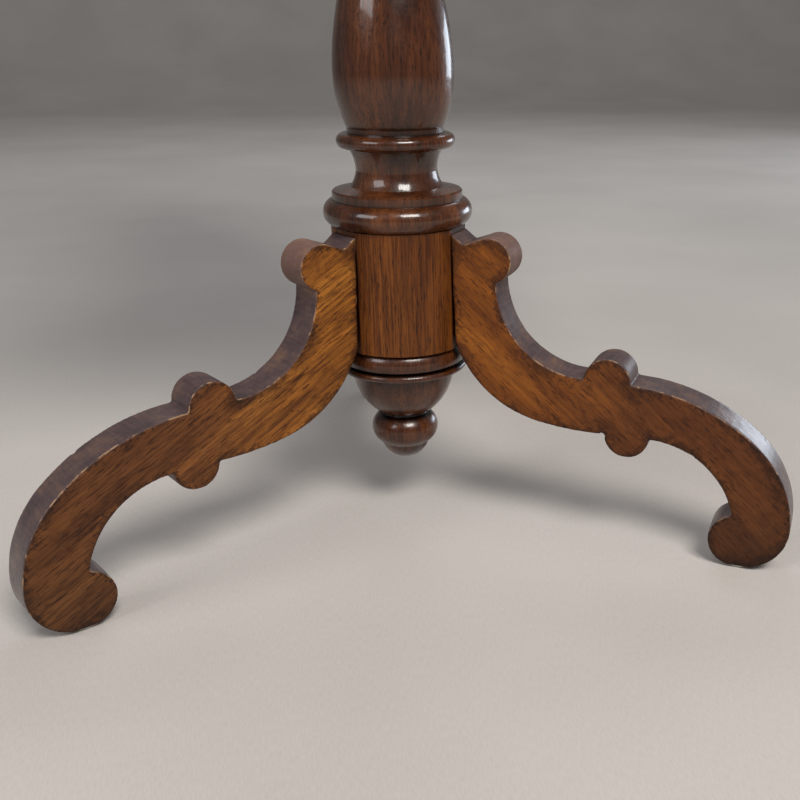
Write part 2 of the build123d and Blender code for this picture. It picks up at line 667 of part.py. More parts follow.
# ---------------------------------------------------------------- lock and key
lock_mid = (lock_front + lock_back) / 2
cavity_top = rim - lock_roof
with BuildPart() as lock_case:
    with Locations((0, lock_front, rim)):
        Box(lock_width, lock_thick, lock_height, align=(Align.CENTER, Align.MIN, Align.MAX))
    with Locations((0, lock_mid, cavity_top)):
        Box(lock_width - 2 * lock_shell, lock_thick - 2 * lock_shell, lock_height - lock_roof - lock_shell,
            align=(Align.CENTER, Align.CENTER, Align.MAX), mode=Mode.SUBTRACT)
    # slots for the links
    for x in link_places:
        with Locations((x + link_thick / 2, lock_mid, rim)):
            Box(link_thick + 2 * slot_play, lock_thick - 2 * lock_shell, 3 * lock_roof, mode=Mode.SUBTRACT)
    # keyhole in front, bearing for the shank's end behind
    with BuildSketch(Plane((0, lock_front, key_z), x_dir=(1, 0, 0), z_dir=(0, -1, 0))):
        Circle(keyhole_radius)
        Rectangle(keyhole_slot, keyhole_long, align=(Align.CENTER, Align.MAX))
    extrude(amount=-2 * lock_shell, mode=Mode.SUBTRACT)
    with BuildSketch(Plane((0, lock_back, key_z), x_dir=(1, 0, 0), z_dir=(0, -1, 0))):
        Circle(shank_radius + run_gap)
    extrude(amount=2 * lock_shell, mode=Mode.SUBTRACT)
save("lock_case", lock_case.part)

bolt_deep = lock_thick - 2 * lock_shell - 2 * clear
window_foot = rim - 0.85 * link_deep
nose_foot = window_foot + 0.2 * nose_high
bar_top = nose_foot - 0.5 * nose_reach
bar_left, bar_right = link_places[0] - 2.2 * nose_reach, link_places[1] + slot_play
with BuildPart() as lock_bolt:
    with Locations(((bar_left + bar_right) / 2, lock_mid, bar_top)):
        Box(bar_right - bar_left, bolt_deep, bolt_bar, align=(Align.CENTER, Align.CENTER, Align.MAX))
    for x in link_places:
        with Locations((x - slot_play - nose_reach, lock_mid, bar_top)):
            Box(bolt_post, bolt_deep, nose_foot + nose_high - bar_top,
                align=(Align.MAX, Align.CENTER, Align.MIN))
        with Locations((x - slot_play, lock_mid, nose_foot)):
            Box(nose_reach + bolt_post / 2, nose_wide, nose_high, align=(Align.MAX, Align.CENTER, Align.MIN))
save("lock_bolt", lock_bolt.part)

with BuildPart() as link_plate:
    with Locations((0, lock_mid, rail_foot)):
        Box(lock_width, lock_thick - 2 * glue_gap, link_plate_thick - glue_gap,
            align=(Align.CENTER, Align.CENTER, Align.MIN))
    for x in link_places:
        with Locations((x + link_thick / 2, lock_mid, rail_foot)):
            Box(link_thick, link_wide, link_deep, align=(Align.CENTER, Align.CENTER, Align.MAX))
        with Locations((x + link_thick / 2, lock_mid, window_foot)):
            Box(link_thick, nose_wide + 2 * clear, 1.4 * nose_high,
                align=(Align.CENTER, Align.CENTER, Align.MIN), mode=Mode.SUBTRACT)
save("link_plate", opened(link_plate.part))

with BuildPart() as escutcheon:
    with BuildSketch(Plane((0, -half_d, key_z - escutcheon_drop), x_dir=(1, 0, 0), z_dir=(0, -1, 0))):
        Ellipse(escutcheon_wide, escutcheon_long)
        with Locations((0, escutcheon_drop)):
            Circle(keyhole_radius, mode=Mode.SUBTRACT)
            Rectangle(keyhole_slot, keyhole_long, align=(Align.CENTER, Align.MAX), mode=Mode.SUBTRACT)
    extrude(amount=escutcheon_thick)
    fillet(escutcheon.faces().sort_by(Axis.Y)[0].outer_wire().edges(), radius=0.6)
save("escutcheon", escutcheon.part)

key_tip = lock_back - clear
key_end = -half_d - escutcheon_thick - key_stand
with BuildPart() as key:
    with BuildSketch(Plane((0, key_tip, key_z), x_dir=(1, 0, 0), z_dir=(0, -1, 0))):
        Circle(shank_radius)
    extrude(amount=key_tip - key_end)
    # bit, inside the case
    with Locations((0, lock_mid, key_z)):
        Box(bit_thick, bolt_deep, bit_drop, align=(Align.CENTER, Align.CENTER, Align.MAX))
    # collar and bow
    with BuildSketch(Plane((0, key_end + collar_stand, key_z), x_dir=(1, 0, 0), z_dir=(0, -1, 0))):
        Circle(collar_radius)
    extrude(amount=collar_width)
    with BuildSketch(Plane.YZ):
        with Locations((key_end - 0.7 * bow_radius, key_z)):
            Ellipse(0.8 * bow_radius, bow_radius)
            Ellipse(0.8 * bow_radius - bow_bar, bow_radius - bow_bar, mode=Mode.SUBTRACT)
    extrude(amount=bow_bar / 2, both=True)
save("key", key.part)

# ---------------------------------------------------------------- fitted inside
canister_xs = {"left": -canister_x, "right": canister_x}
with BuildPart() as well_deck:
    with BuildSketch(Plane.XY.offset(deck_top)):
        Rectangle(inner_w - 2 * glue_gap, inner_d - 2 * glue_gap)
        with GridLocations(2 * canister_x, 0, 2, 1):
            Rectangle(canister_width + 2 * clear, canister_depth + 2 * clear, mode=Mode.SUBTRACT)
        with GridLocations(0, well_spread, 1, 2):
            Circle(well_radius, mode=Mode.SUBTRACT)
    extrude(amount=-deck_thick)
    with Locations((0, -inner_d / 2, rim)):
        Box(lock_width + 2, 2 * lock_inside_proud + 1, 2 * lock_height, mode=Mode.SUBTRACT)
save("well_deck", well_deck.part)

for name, x in (("partition_left", -partition_x), ("partition_right", partition_x)):
    with BuildPart() as partition:
        with Locations((x, 0, chest_floor + bottom_thick)):
            Box(partition_thick, inner_d - 2 * glue_gap, deck_top - deck_thick - chest_floor - bottom_thick,
                align=(Align.CENTER, Align.CENTER, Align.MIN))
    save(name, partition.part)

with BuildPart() as canister_pads:
    with BuildSketch(Plane.XY.offset(chest_floor + bottom_thick)):
        with GridLocations(2 * canister_x, 0, 2, 1):
            Rectangle(canister_width - 2 * pad_inset, canister_depth - 2 * pad_inset)
    extrude(amount=pad_thick)
save("canister_pads", canister_pads.part)

canister_foot = pad_top + rest_gap
with BuildPart() as canister_box:
    with BuildSketch(Plane.XY.offset(canister_foot)):
        Rectangle(canister_width, canister_depth)
    extrude(amount=canister_rim - canister_foot)
    fillet(canister_box.edges().filter_by(Axis.Z), radius=canister_round)
    offset(amount=-canister_wall, openings=canister_box.faces().sort_by(Axis.Z)[-1])
    # recesses for the hinge leaves in the outer wall
    with GridLocations(0, small_hinge_spread, 1, 2):
        with Locations((canister_width / 2, 0, canister_rim)):
            Box(small_leaf_width + glue_gap, small_leaf_length + 2 * glue_gap, 2 * small_leaf_thick,
                align=(Align.MAX, Align.CENTER, Align.CENTER), mode=Mode.SUBTRACT)

foil_w, foil_d = (size - 2 * canister_wall - 2 * glue_gap for size in (canister_width, canister_depth))
foil_foot = canister_foot + canister_wall + glue_gap
with BuildPart() as canister_foil:
    with BuildSketch(Plane.XY.offset(foil_foot)):
        Rectangle(foil_w, foil_d)
    extrude(amount=canister_rim - canister_lid_plug - plug_play - foil_foot)
    offset(amount=-foil_thick, openings=canister_foil.faces().sort_by(Axis.Z)[-1])

canister_lid_foot = canister_rim + lid_gap
with BuildPart() as canister_lid:
    with BuildSketch(Plane.XY.offset(canister_lid_foot)):
        Rectangle(canister_width, canister_depth)
    extrude(amount=canister_lid_thick)
    fillet(canister_lid.edges().filter_by(Axis.Z), radius=canister_round)
    fillet(canister_lid.edges().group_by(Axis.Z)[-1], radius=canister_round)
    with BuildSketch(Plane.XY.offset(canister_lid_foot)):
        Rectangle(foil_w - plug_play, foil_d - plug_play)
    extrude(amount=-canister_lid_plug)
    with Locations((0, 0, canister_lid_foot + canister_lid_thick)):
        Hole(knob_spigot_radius + glue_gap, depth=0.7 * canister_lid_thick)
    with GridLocations(0, small_hinge_spread, 1, 2):
        with Locations((canister_width / 2, 0, canister_lid_foot)):
            Box(small_leaf_width + glue_gap, small_leaf_length + 2 * glue_gap, 2 * small_leaf_thick,
                align=(Align.MAX, Align.CENTER, Align.CENTER), mode=Mode.SUBTRACT)

knob_foot = canister_lid_foot + canister_lid_thick
knob_base, knob_neck, knob_cap = 0.75 * knob_radius, 0.6 * knob_radius, 0.55 * knob_radius
knob_step = knob_foot + 0.11 * knob_height
knob_waist = knob_foot + 0.45 * knob_height
knob_shoulder = knob_foot + 0.95 * knob_height
spigot_foot = knob_foot - 0.6 * canister_lid_thick
with BuildPart() as knob:
    with BuildSketch(Plane.XZ):
        with BuildLine():
            Polyline((0, spigot_foot), (knob_spigot_radius, spigot_foot), (knob_spigot_radius, knob_foot),
                     (knob_base, knob_foot), (knob_base, knob_step))
            ThreePointArc((knob_base, knob_step), (0.42 * knob_radius, knob_foot + 0.3 * knob_height),
                          (knob_neck, knob_waist))
            ThreePointArc((knob_neck, knob_waist), (knob_radius, knob_foot + 0.7 * knob_height),
                          (knob_cap, knob_shoulder))
            RadiusArc((knob_cap, knob_shoulder), (0, knob_foot + knob_height),
                      -cap_radius(knob_cap, knob_foot + knob_height - knob_shoulder))
            Line((0, knob_foot + knob_height), (0, spigot_foot))
        make_face()
    revolve(axis=Axis.Z)

small_low, small_high, small_pin = butt_hinge(small_leaf_length, small_leaf_width, small_leaf_thick,
                                              small_knuckle_radius, small_pin_radius, small_knuckle_count, ())
for side, x in canister_xs.items():
    # drawn with the hinges on +X; the left one is the same canister turned about
    turn = 0 if x > 0 else 180
    spot = Location((x, 0, 0), (0, 0, turn))
    hinge_x = canister_width / 2 + small_knuckle_radius + knuckle_gap
    hinge_spots = [spot * Location((hinge_x, y, canister_rim + lid_gap / 2), (0, 0, -90))
                   for y in (-small_hinge_spread / 2, small_hinge_spread / 2)]
    save(f"canister_{side}_box", canister_box.part.moved(spot))
    save(f"canister_{side}_foil", canister_foil.part.moved(spot))
    save(f"canister_{side}_lid", canister_lid.part.moved(spot))
    save(f"canister_{side}_knob", knob.part.moved(spot))
    group(f"canister_{side}_hinge_fixed", [small_low.moved(h) for h in hinge_spots])
    group(f"canister_{side}_hinge_moving", [small_high.moved(h) for h in hinge_spots])
    group(f"canister_{side}_hinge_pins", [small_pin.moved(h) for h in hinge_spots])

# Mixing bowls, hung by their flanges in the deck
flange_radius = well_radius + bowl_flange
flange_thick = bowl_glass + bowl_flange_round
flange_top = deck_top + flange_thick
bowl_radius = well_radius - clear
bowl_foot = deck_top - bowl_depth
side_foot = (bowl_radius, deck_top - bowl_side)
foot_ring = (bowl_foot_radius, bowl_foot + bowl_foot_height)
inner_side = (bowl_radius - bowl_glass, deck_top - bowl_side)
inner_foot = (bowl_foot_radius - bowl_glass, foot_ring[1] + bowl_glass)
with BuildPart() as bowl:
    with BuildSketch(Plane.XZ):
        with BuildLine():
            Polyline((0, bowl_foot), (bowl_foot_radius, bowl_foot), foot_ring)
            RadiusArc(foot_ring, side_foot, -bowl_curve)
            Polyline(side_foot, (bowl_radius, deck_top), (flange_radius, deck_top))
            ThreePointArc((flange_radius, deck_top),
                          (flange_radius + bowl_flange_round, deck_top + flange_thick / 2),
                          (flange_radius, flange_top))
            Polyline((flange_radius, flange_top), (inner_side[0], flange_top), inner_side)
            RadiusArc(inner_side, inner_foot, bowl_curve)
            Polyline(inner_foot, (0, inner_foot[1]), (0, bowl_foot))
        make_face()
    revolve(axis=Axis.Z)
for name, y in (("bowl_front", -well_spread / 2), ("bowl_back", well_spread / 2)):
    save(name, bowl.part.moved(Location((0, y, 0))))
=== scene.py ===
"""The looks of a Victorian walnut teapoy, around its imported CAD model. Metres, +Z up, -Y the front."""

import json
from math import cos, exp, pi, radians, sin

import bmesh
import bpy
import numpy as np
from mathutils import Matrix, Vector, kdtree, noise


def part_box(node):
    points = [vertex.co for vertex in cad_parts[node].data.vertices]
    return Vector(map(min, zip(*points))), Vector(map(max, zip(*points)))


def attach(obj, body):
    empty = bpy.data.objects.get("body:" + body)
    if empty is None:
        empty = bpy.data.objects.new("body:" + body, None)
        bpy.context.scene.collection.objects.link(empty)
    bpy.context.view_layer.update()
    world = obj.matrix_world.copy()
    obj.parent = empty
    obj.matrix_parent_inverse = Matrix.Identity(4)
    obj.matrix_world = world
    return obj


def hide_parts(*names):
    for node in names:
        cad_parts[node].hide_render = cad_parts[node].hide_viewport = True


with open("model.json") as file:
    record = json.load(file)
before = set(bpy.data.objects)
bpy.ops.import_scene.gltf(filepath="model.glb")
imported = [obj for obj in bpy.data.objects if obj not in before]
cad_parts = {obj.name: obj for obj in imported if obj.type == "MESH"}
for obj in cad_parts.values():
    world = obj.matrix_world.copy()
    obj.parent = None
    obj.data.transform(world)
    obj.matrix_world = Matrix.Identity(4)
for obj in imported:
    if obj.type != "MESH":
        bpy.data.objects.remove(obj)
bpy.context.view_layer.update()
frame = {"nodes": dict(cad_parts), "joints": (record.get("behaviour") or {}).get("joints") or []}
nodes = frame["nodes"]

# ---------------------------------------------------------------- sizes, m
leg_azimuths = {"leg_rear": radians(90), "leg_left": radians(210), "leg_right": radians(330)}
leg_thick = 0.0297
leg_voxel = 0.0011
seam_gap = 0.00001              # points nearer than this are one
# each leg is sawn from its own board: how steeply its grain runs down and out, its strength and its tint
leg_boards = {
    "leg_rear": (radians(34), 0.75, (0.92, 0.86, 0.80)),
    "leg_left": (radians(27), 0.95, (0.96, 1.0, 1.0)),
    "leg_right": (radians(41), 0.50, (0.70, 0.62, 0.48)),
}
face_depth = 0.0022             # a leg's points this near its side plane belong to its face
rim_depth = 0.0040              # and those from there to here to its sawn edge's rim
arris_reach = 0.0045            # wear spreads this far from an arris
chip_depth = 0.0009             # deepest chip
chip_slope = 0.008              # a chip's depth for one unit of noise
rub_depth = 0.00012             # how far hands and feet have rubbed the arris
dent_depth, fine_dent_depth = 0.00012, 0.00005
# where the leg's colours change: out from the column's axis, or up from the floor
golden_end, ruddy_start = 0.06, 0.21
floor_dark_end, floor_dark_full = 0.090, 0.020
scroll_foot, scroll_middle = 0.190, 0.206
scroll_inside, scroll_outside = 0.060, 0.068
toe_start, toe_full = 0.15, 0.25
dull_end, dull_full = 0.22, 0.15
glide_radius, glide_height = 0.0135, 0.0020
cad_glide_radius = 0.0080
nail_radius, nail_neck, nail_length = 0.0012, 0.0125, 0.0140
lining_channel = 0.0240         # the sewn channel's way in from the lining's edge
channel_width = 0.0045
waist_x, waist_y = 0.006, 0.008 # how far a pad's sides pull in, in shares of its size
pucker_start, pucker_reach = 0.0040, 0.0070       # puckers begin this far in, and fade this far from a seam
velvet_voxel, velvet_sag = 0.0016, 0.00025
well_radius, well_spread = 0.0540, 0.1360
well_cord_out, well_cord_sunk = 0.0030, 0.0002
well_cord_radius, well_cord_pitch = 0.0012, 0.0060
braid_radius, braid_pitch = 0.0015, 0.0075
cord_step = 0.0011              # between a cord's rings
chest_mitre = 0.0600            # half the chest's width less half its depth
slot_length, slot_width, slot_depth = 3.0, 0.28, 0.50     # in radii of a screw's head


# ---------------------------------------------------------------- material tools
class Surface:
    """A node material, with short ways to add nodes and join them."""

    def __init__(self, name):
        self.material = bpy.data.materials.new(name)
        self.material.use_nodes = True
        self.tree = self.material.node_tree
        self.shader = self.tree.nodes["Principled BSDF"]

    def add(self, kind, inputs=None, out=0, **settings):
        node = self.tree.nodes.new("ShaderNode" + kind)
        for key, value in settings.items():
            setattr(node, key, value)
        for key, value in (inputs or {}).items():
            self.put(node.inputs[key], value)
        return node.outputs[out]

    def put(self, socket, value):
        if isinstance(value, bpy.types.NodeSocket):
            self.tree.links.new(value, socket)
        else:
            socket.default_value = value

    def shade(self, **inputs):
        for key, value in inputs.items():
            self.put(self.shader.inputs[key.replace("_", " ")], value)

    def object_place(self):
        return self.add("TexCoord", out="Object")

    def object_normal(self):
        return self.add("TexCoord", out="Normal")

    def turned(self, vector, angles, scale=(1, 1, 1), offset=(0, 0, 0)):
        return self.add("Mapping", {"Vector": vector, "Rotation": angles, "Scale": scale, "Location": offset})

    def stretched(self, vector, scale, offset=(0, 0, 0)):
        return self.turned(vector, (0, 0, 0), scale, offset)

    def noise(self, vector, scale, detail=3.0, roughness=0.5, distortion=0.0):
        return self.add("TexNoise", {"Vector": vector, "Scale": scale, "Detail": detail,
                                     "Roughness": roughness, "Distortion": distortion})

    def math(self, operation, a, b=0.0, clamp=False):
        return self.add("Math", {0: a, 1: b}, operation=operation, use_clamp=clamp)

    def part_of(self, vector, axis):
        return self.add("SeparateXYZ", {0: vector}, out=axis)

    def spread(self, value, low, high, to_low=0.0, to_high=1.0):
        return self.add("MapRange", {"Value": value, "From Min": low, "From Max": high,
                                     "To Min": to_low, "To Max": to_high}, interpolation_type="SMOOTHSTEP")

    def ramp(self, value, stops):
        node = self.tree.nodes.new("ShaderNodeValToRGB")
        self.put(node.inputs[0], value)
        elements = node.color_ramp.elements
        while len(elements) < len(stops):
            elements.new(0.5)
        for element, (place, colour) in zip(elements, stops):
            element.position = place
            element.color = (*colour, 1)
        return node.outputs[0]

    def mix(self, factor, a, b, blend="MIX"):
        node = self.tree.nodes.new("ShaderNodeMix")
        node.data_type = "RGBA"
        node.blend_type = blend
        for index, value in ((0, factor), (6, a), (7, b)):
            if isinstance(value, tuple):
                value = (*value, 1)
            self.put(node.inputs[index], value)
        return node.outputs[2]

    def bump(self, height, distance, strength, normal=None):
        inputs = {"Height": height, "Distance": distance, "Strength": strength}
        if normal is not None:
            inputs["Normal"] = normal
        return self.add("Bump", inputs)

    def hollow(self, distance, alone=True):
        """1 on open surfaces, towards 0 in hollows: the object's own, or with its neighbours too."""
        return self.add("AmbientOcclusion", {"Distance": distance}, out="AO", only_local=alone, samples=6)


def grained(surface, spin, tip, seed):
    """Object coordinates turned so that X runs along the grain."""
    level = surface.turned(surface.object_place(), (0, 0, -spin))
    return surface.turned(level, (0, -tip, 0), offset=(seed, seed / 3, seed / 7))


def walnut_figure(surface, place, bands):
    """The wood's own pattern along the grain: (broad bands, streaks, fine lines, pores)."""
    broad = surface.noise(surface.stretched(place, (0.14, 1, 1)), bands, 2, 0.5, 0.4)
    streaks = surface.noise(surface.stretched(place, (0.050, 1, 1), (0, 3, 1)), 5 * bands, 3, 0.6, 0.15)
    fine = surface.noise(surface.stretched(place, (0.055, 1, 1), (0, 7, 2)), 14 * bands, 3, 0.62)
    pores = surface.noise(surface.stretched(place, (0.10, 1, 1)), 26 * bands, 2, 0.55)
    return broad, streaks, fine, pores


def walnut_colour(surface, figure, tones, streak_depth=0.6, fine_depth=0.7):
    """Colour of the figure: a ramp over the broad bands, crossed by darker streaks and lines."""
    broad, streaks, fine, pores = figure
    colour = surface.ramp(broad, tones)
    streak = surface.spread(streaks, 0.44, 0.62, 0, streak_depth)
    colour = surface.mix(streak, colour, (0.45, 0.36, 0.30), "MULTIPLY")
    line = surface.spread(fine, 0.47, 0.62, 0, fine_depth)
    colour = surface.mix(line, colour, (0.34, 0.26, 0.22), "MULTIPLY")
    gleam = surface.spread(fine, 0.44, 0.32, 0, 0.45)
    colour = surface.mix(gleam, colour, (1.55, 1.50, 1.40), "MULTIPLY")
    pore = surface.spread(pores, 0.57, 0.66, 0, 0.8)
    return surface.mix(pore, colour, (0.20, 0.14, 0.12), "MULTIPLY")


def finish_wood(surface, colour, rough_low, rough_high, place, pores,
                coat=0.0, coat_rough=0.1, pore_depth=0.00010):
    """Polished wood: satin where the polish is thin, with its pores as small dents."""
    patches = surface.noise(surface.stretched(place, (0.5, 1, 1)), 60, 3, 0.6)
    roughness = surface.spread(patches, 0.3, 0.7, rough_low, rough_high)
    dents = surface.spread(pores, 0.30, 0.45)
    orange_peel = surface.noise(surface.object_place(), 260, 2, 0.5)
    normal = surface.bump(dents, pore_depth, 0.7, surface.bump(orange_peel, 0.00035, 0.35))
    surface.shade(Base_Color=colour, Roughness=roughness, Normal=normal, IOR=1.5)
    surface.shade(Coat_Weight=coat, Coat_Roughness=coat_rough)


# ---------------------------------------------------------------- walnut
golden = ((0.30, (0.220, 0.070, 0.008)), (0.50, (0.330, 0.110, 0.013)), (0.70, (0.430, 0.158, 0.022)))
ruddy = ((0.30, (0.110, 0.036, 0.010)), (0.50, (0.170, 0.056, 0.014)), (0.70, (0.230, 0.080, 0.020)))
upright = ((0.30, (0.090, 0.025, 0.003)), (0.50, (0.130, 0.037, 0.004)), (0.70, (0.175, 0.053, 0.007)))
polished = ((0.30, (0.042, 0.012, 0.004)), (0.50, (0.085, 0.025, 0.007)), (0.70, (0.140, 0.044, 0.012)))
# dark tone shared by real dirt and by painted shade
dirt_and_shade_tone = (0.16, 0.12, 0.12)


def leg_dirt_and_shade(s, colour, edge):
    """Ragged dark dirt that creeps in from the arrises, and painted shade in the corners and beside the
    neighbouring parts.
    """
    ragged = s.noise(s.object_place(), 240, 6, 0.75)
    patchy = s.noise(s.object_place(), 24, 3, 0.55)
    reach = s.spread(patchy, 0.40, 0.62, 0.0010, 0.0130)
    line = s.math("ADD", edge, s.math("MULTIPLY", s.math("SUBTRACT", ragged, 0.5), 0.030))
    dirt = s.math("SUBTRACT", 1.0, s.math("DIVIDE", line, reach), clamp=True)
    colour = s.mix(s.math("MULTIPLY", dirt, 0.8), colour, dirt_and_shade_tone, "MULTIPLY")
    # painted shade: darker in the leg's corners and beside the block, column and other legs
    return s.mix(s.spread(s.hollow(0.014, alone=False), 0.62, 0.30, 0, 0.85), colour, dirt_and_shade_tone, "MULTIPLY")


def leg_band(s, level):
    """Colour of the sawn edges: mauve-grey old polish, partly a painted cool sheen, worn to brown in patches.
    """
    worn = s.noise(s.object_place(), 52, 5, 0.66)
    scrapes = s.noise(s.stretched(level, (1, 0.10, 1)), 420, 3, 0.6)
    value = s.math("ADD", s.math("MULTIPLY", worn, 0.7), s.math("MULTIPLY", scrapes, 0.3))
    # the mauve-grey tones are partly a painted cool sheen
    return s.ramp(value, ((0.36, (0.053, 0.033, 0.034)), (0.49, (0.082, 0.051, 0.051)),
                          (0.60, (0.124, 0.072, 0.056)), (0.75, (0.205, 0.104, 0.058))))


def bruises(s, colour, density):
    """A few dark specks and worm holes, scattered unevenly."""
    drift = s.add("TexNoise", {"Vector": s.object_place(), "Scale": 30}, out="Color")
    wander = s.mix(0.10, s.object_place(), drift)
    spots = s.add("TexVoronoi", {"Vector": wander, "Scale": 85, "Randomness": 1.0})
    thin = s.noise(s.object_place(), 31, 2, 0.6)
    pits = s.math("MULTIPLY", s.spread(spots, 0.14, 0.06), s.spread(thin, 0.60 - density, 0.64 - density))
    return s.mix(s.math("MULTIPLY", pits, 0.85), colour, (0.012, 0.006, 0.004))


def leg_walnut(name, azimuth, slope, strength, tint, seed):
    """Sawn leg: golden above, ruddy and dull towards the foot, dirty by its pale worn arrises."""
    s = Surface(name)
    place = grained(s, azimuth, slope, seed)
    figure = walnut_figure(s, place, 34)
    level = s.turned(s.object_place(), (0, 0, -azimuth))
    outward = s.part_of(level, "X")
    low = s.spread(outward, golden_end, ruddy_start)
    upper = walnut_colour(s, figure, golden, 0.38 * strength, 0.75 * strength)
    colour = s.mix(low, upper, walnut_colour(s, figure, ruddy, 0.30 * strength, 0.60 * strength))
    colour = s.mix(1.0, colour, tint, "MULTIPLY")
    # the foot darkens towards the floor
    near_floor = s.spread(s.part_of(s.object_place(), "Z"), floor_dark_end, floor_dark_full, 0, 0.75)
    colour = s.mix(near_floor, colour, (0.62, 0.68, 0.80), "MULTIPLY")
    # mottling of old polish: soft clouds, then smears drawn along the grain
    cloud = s.noise(s.stretched(place, (0.6, 1, 1)), 75, 5, 0.68, 0.5)
    colour = s.mix(s.spread(cloud, 0.47, 0.66, 0, 0.50), colour, (0.50, 0.42, 0.40), "MULTIPLY")
    smear = s.noise(s.stretched(place, (0.30, 1, 1), (3, 1, 2)), 150, 5, 0.70)
    colour = s.mix(s.spread(smear, 0.56, 0.66, 0, 0.65), colour, (0.40, 0.30, 0.26), "MULTIPLY")
    colour = bruises(s, colour, 0.06)
    edge = s.add("Attribute", attribute_name="edge", out="Fac")
    colour = leg_dirt_and_shade(s, colour, edge)
    across = s.math("ABSOLUTE", s.part_of(s.turned(s.object_normal(), (0, 0, -azimuth)), "Y"))
    band = s.spread(across, 0.80, 0.45)
    # painted highlight, paler and more tan, on the crest of the upper scroll
    high = s.spread(s.part_of(s.object_place(), "Z"), scroll_foot, scroll_middle)
    crest_highlight = s.math("MULTIPLY", high, s.spread(outward, scroll_inside, scroll_outside))
    sawn = s.mix(crest_highlight, leg_band(s, level), (0.072, 0.036, 0.020), "ADD")
    colour = s.mix(band, colour, sawn)
    # the arris itself is rubbed pale in places
    rub = s.noise(s.object_place(), 110, 4, 0.65)
    arris = s.math("MULTIPLY", s.spread(edge, 0.0009, 0.0002), s.spread(rub, 0.50, 0.60))
    colour = s.mix(s.math("MULTIPLY", arris, 0.75), colour, (0.42, 0.25, 0.13))
    finish_wood(s, colour, 0.44, 0.62, place, figure[3], coat_rough=0.25)
    # the polish has lasted best on the edges of the toe
    kept = s.math("MULTIPLY", band, s.spread(outward, toe_start, toe_full, 0.04, 0.55))
    dull = s.math("MULTIPLY", band, s.spread(outward, dull_end, dull_full, 0.0, 0.22))
    scuffed = s.math("ADD", s.spread(cloud, 0.3, 0.7, 0.44, 0.62), dull)
    s.shade(Specular_IOR_Level=0.28, Coat_Weight=kept, Roughness=scuffed)
    return s.material


def block_walnut():
    """Turned and flatted barrel, upright grain, black with painted shade where the legs meet it."""
    s = Surface("walnut_block")
    place = grained(s, 0.3, radians(90), 1.7)
    figure = walnut_figure(s, place, 44)
    colour = walnut_colour(s, figure, upright, 0.4, 0.6)
    lines = s.noise(s.stretched(place, (0.012, 1, 1), (0, 5, 5)), 900, 2, 0.5)
    colour = s.mix(s.spread(lines, 0.45, 0.60, 0, 0.55), colour, (0.42, 0.33, 0.28), "MULTIPLY")
    colour = bruises(s, colour, 0.04)
    # painted shade: dark where the legs and other parts meet the block
    joint = s.spread(s.hollow(0.004, alone=False), 0.80, 0.40, 0, 0.95)
    colour = s.mix(joint, colour, dirt_and_shade_tone, "MULTIPLY")
    finish_wood(s, colour, 0.42, 0.56, place, figure[3], coat=0.06, coat_rough=0.20)
    s.shade(Specular_IOR_Level=0.25)
    return s.material


def turned_walnut(name, coat, coat_rough, seed):
    """French-polished turnery, nearly black in its quirks with painted shade."""
    s = Surface(name)
    place = grained(s, 0.9, radians(90), seed)
    figure = walnut_figure(s, place, 40)
    colour = walnut_colour(s, figure, polished, 0.5, 0.5)
    # painted shade: nearly black in the quirks and hollows
    quirk_shade = s.spread(s.hollow(0.008), 0.95, 0.60, 0, 0.95)
    colour = s.mix(quirk_shade, colour, (0.05, 0.038, 0.045), "MULTIPLY")
    finish_wood(s, colour, 0.22, 0.36, place, figure[3], coat, coat_rough, pore_depth=0.00004)
    s.shade(Specular_IOR_Level=0.3)
    return s.material


def case_walnut(name, spin, tip, seed, coat=0.5, matched=False, mitre=None):
    """Veneer or board of the chest; matched veneer mirrors its figure about the middle.

    A mitred moulding's grain turns where its side lengths start, mitre being half width less half depth.
    """
    s = Surface(name)
    if matched:
        here = s.object_place()
        across = s.math("ABSOLUTE", s.part_of(here, "X"))
        here = s.add("CombineXYZ", {"X": across, "Y": s.part_of(here, "Y"), "Z": s.part_of(here, "Z")})
        place = s.turned(here, (0, -tip, 0), offset=(seed, seed / 3, seed / 7))
    else:
        place = grained(s, spin, tip, seed)
    if mitre is not None:
        here = s.object_place()
        across = s.math("ABSOLUTE", s.part_of(here, "X"))
        along = s.math("ABSOLUTE", s.part_of(here, "Y"))
        side = s.math("GREATER_THAN", s.math("SUBTRACT", across, along), mitre)
        place = s.mix(side, place, grained(s, radians(90), 0, seed + 1.3))
    figure = walnut_figure(s, place, 24)
    colour = walnut_colour(s, figure, golden)
    colour = s.mix(0.45, colour, walnut_colour(s, figure, upright))
    # painted shade: darker in the hollows and corners
    hollow_shade = s.spread(s.hollow(0.012), 0.9, 0.5, 0, 0.65)
    colour = s.mix(hollow_shade, colour, (0.20, 0.15, 0.13), "MULTIPLY")
    finish_wood(s, colour, 0.20, 0.36, place, figure[3], coat=coat, coat_rough=0.12, pore_depth=0.00005)
    return s.material


def inside_wood():
    """Plain mahogany of the parts that don't show when the chest is full."""
    s = Surface("mahogany_inside")
    place = grained(s, 0, 0, 2.2)
    figure = walnut_figure(s, place, 30)
    tones = ((0.3, (0.17, 0.075, 0.036)), (0.5, (0.26, 0.125, 0.062)), (0.7, (0.34, 0.18, 0.095)))
    finish_wood(s, walnut_colour(s, figure, tones, 0.35, 0.35), 0.55, 0.72, place, figure[3])
    return s.material


# ---------------------------------------------------------------- metals, glass, cloth
def metal(name, bright, dull, rough_low, rough_high):
    """Handled metal: bright on the open faces, dull in the corners and in patches."""
    s = Surface(name)
    patches = s.noise(s.object_place(), 240, 5, 0.62)
    tarnish = s.math("ADD", s.spread(patches, 0.40, 0.66), s.spread(s.hollow(0.002), 0.9, 0.5), clamp=True)
    scratches = s.noise(s.stretched(s.object_place(), (1, 8, 8)), 900, 2, 0.5)
    s.shade(Base_Color=s.mix(tarnish, bright, dull), Metallic=1.0,
            Roughness=s.spread(patches, 0.3, 0.7, rough_low, rough_high),
            Normal=s.bump(scratches, 0.00004, 0.5))
    return s.material


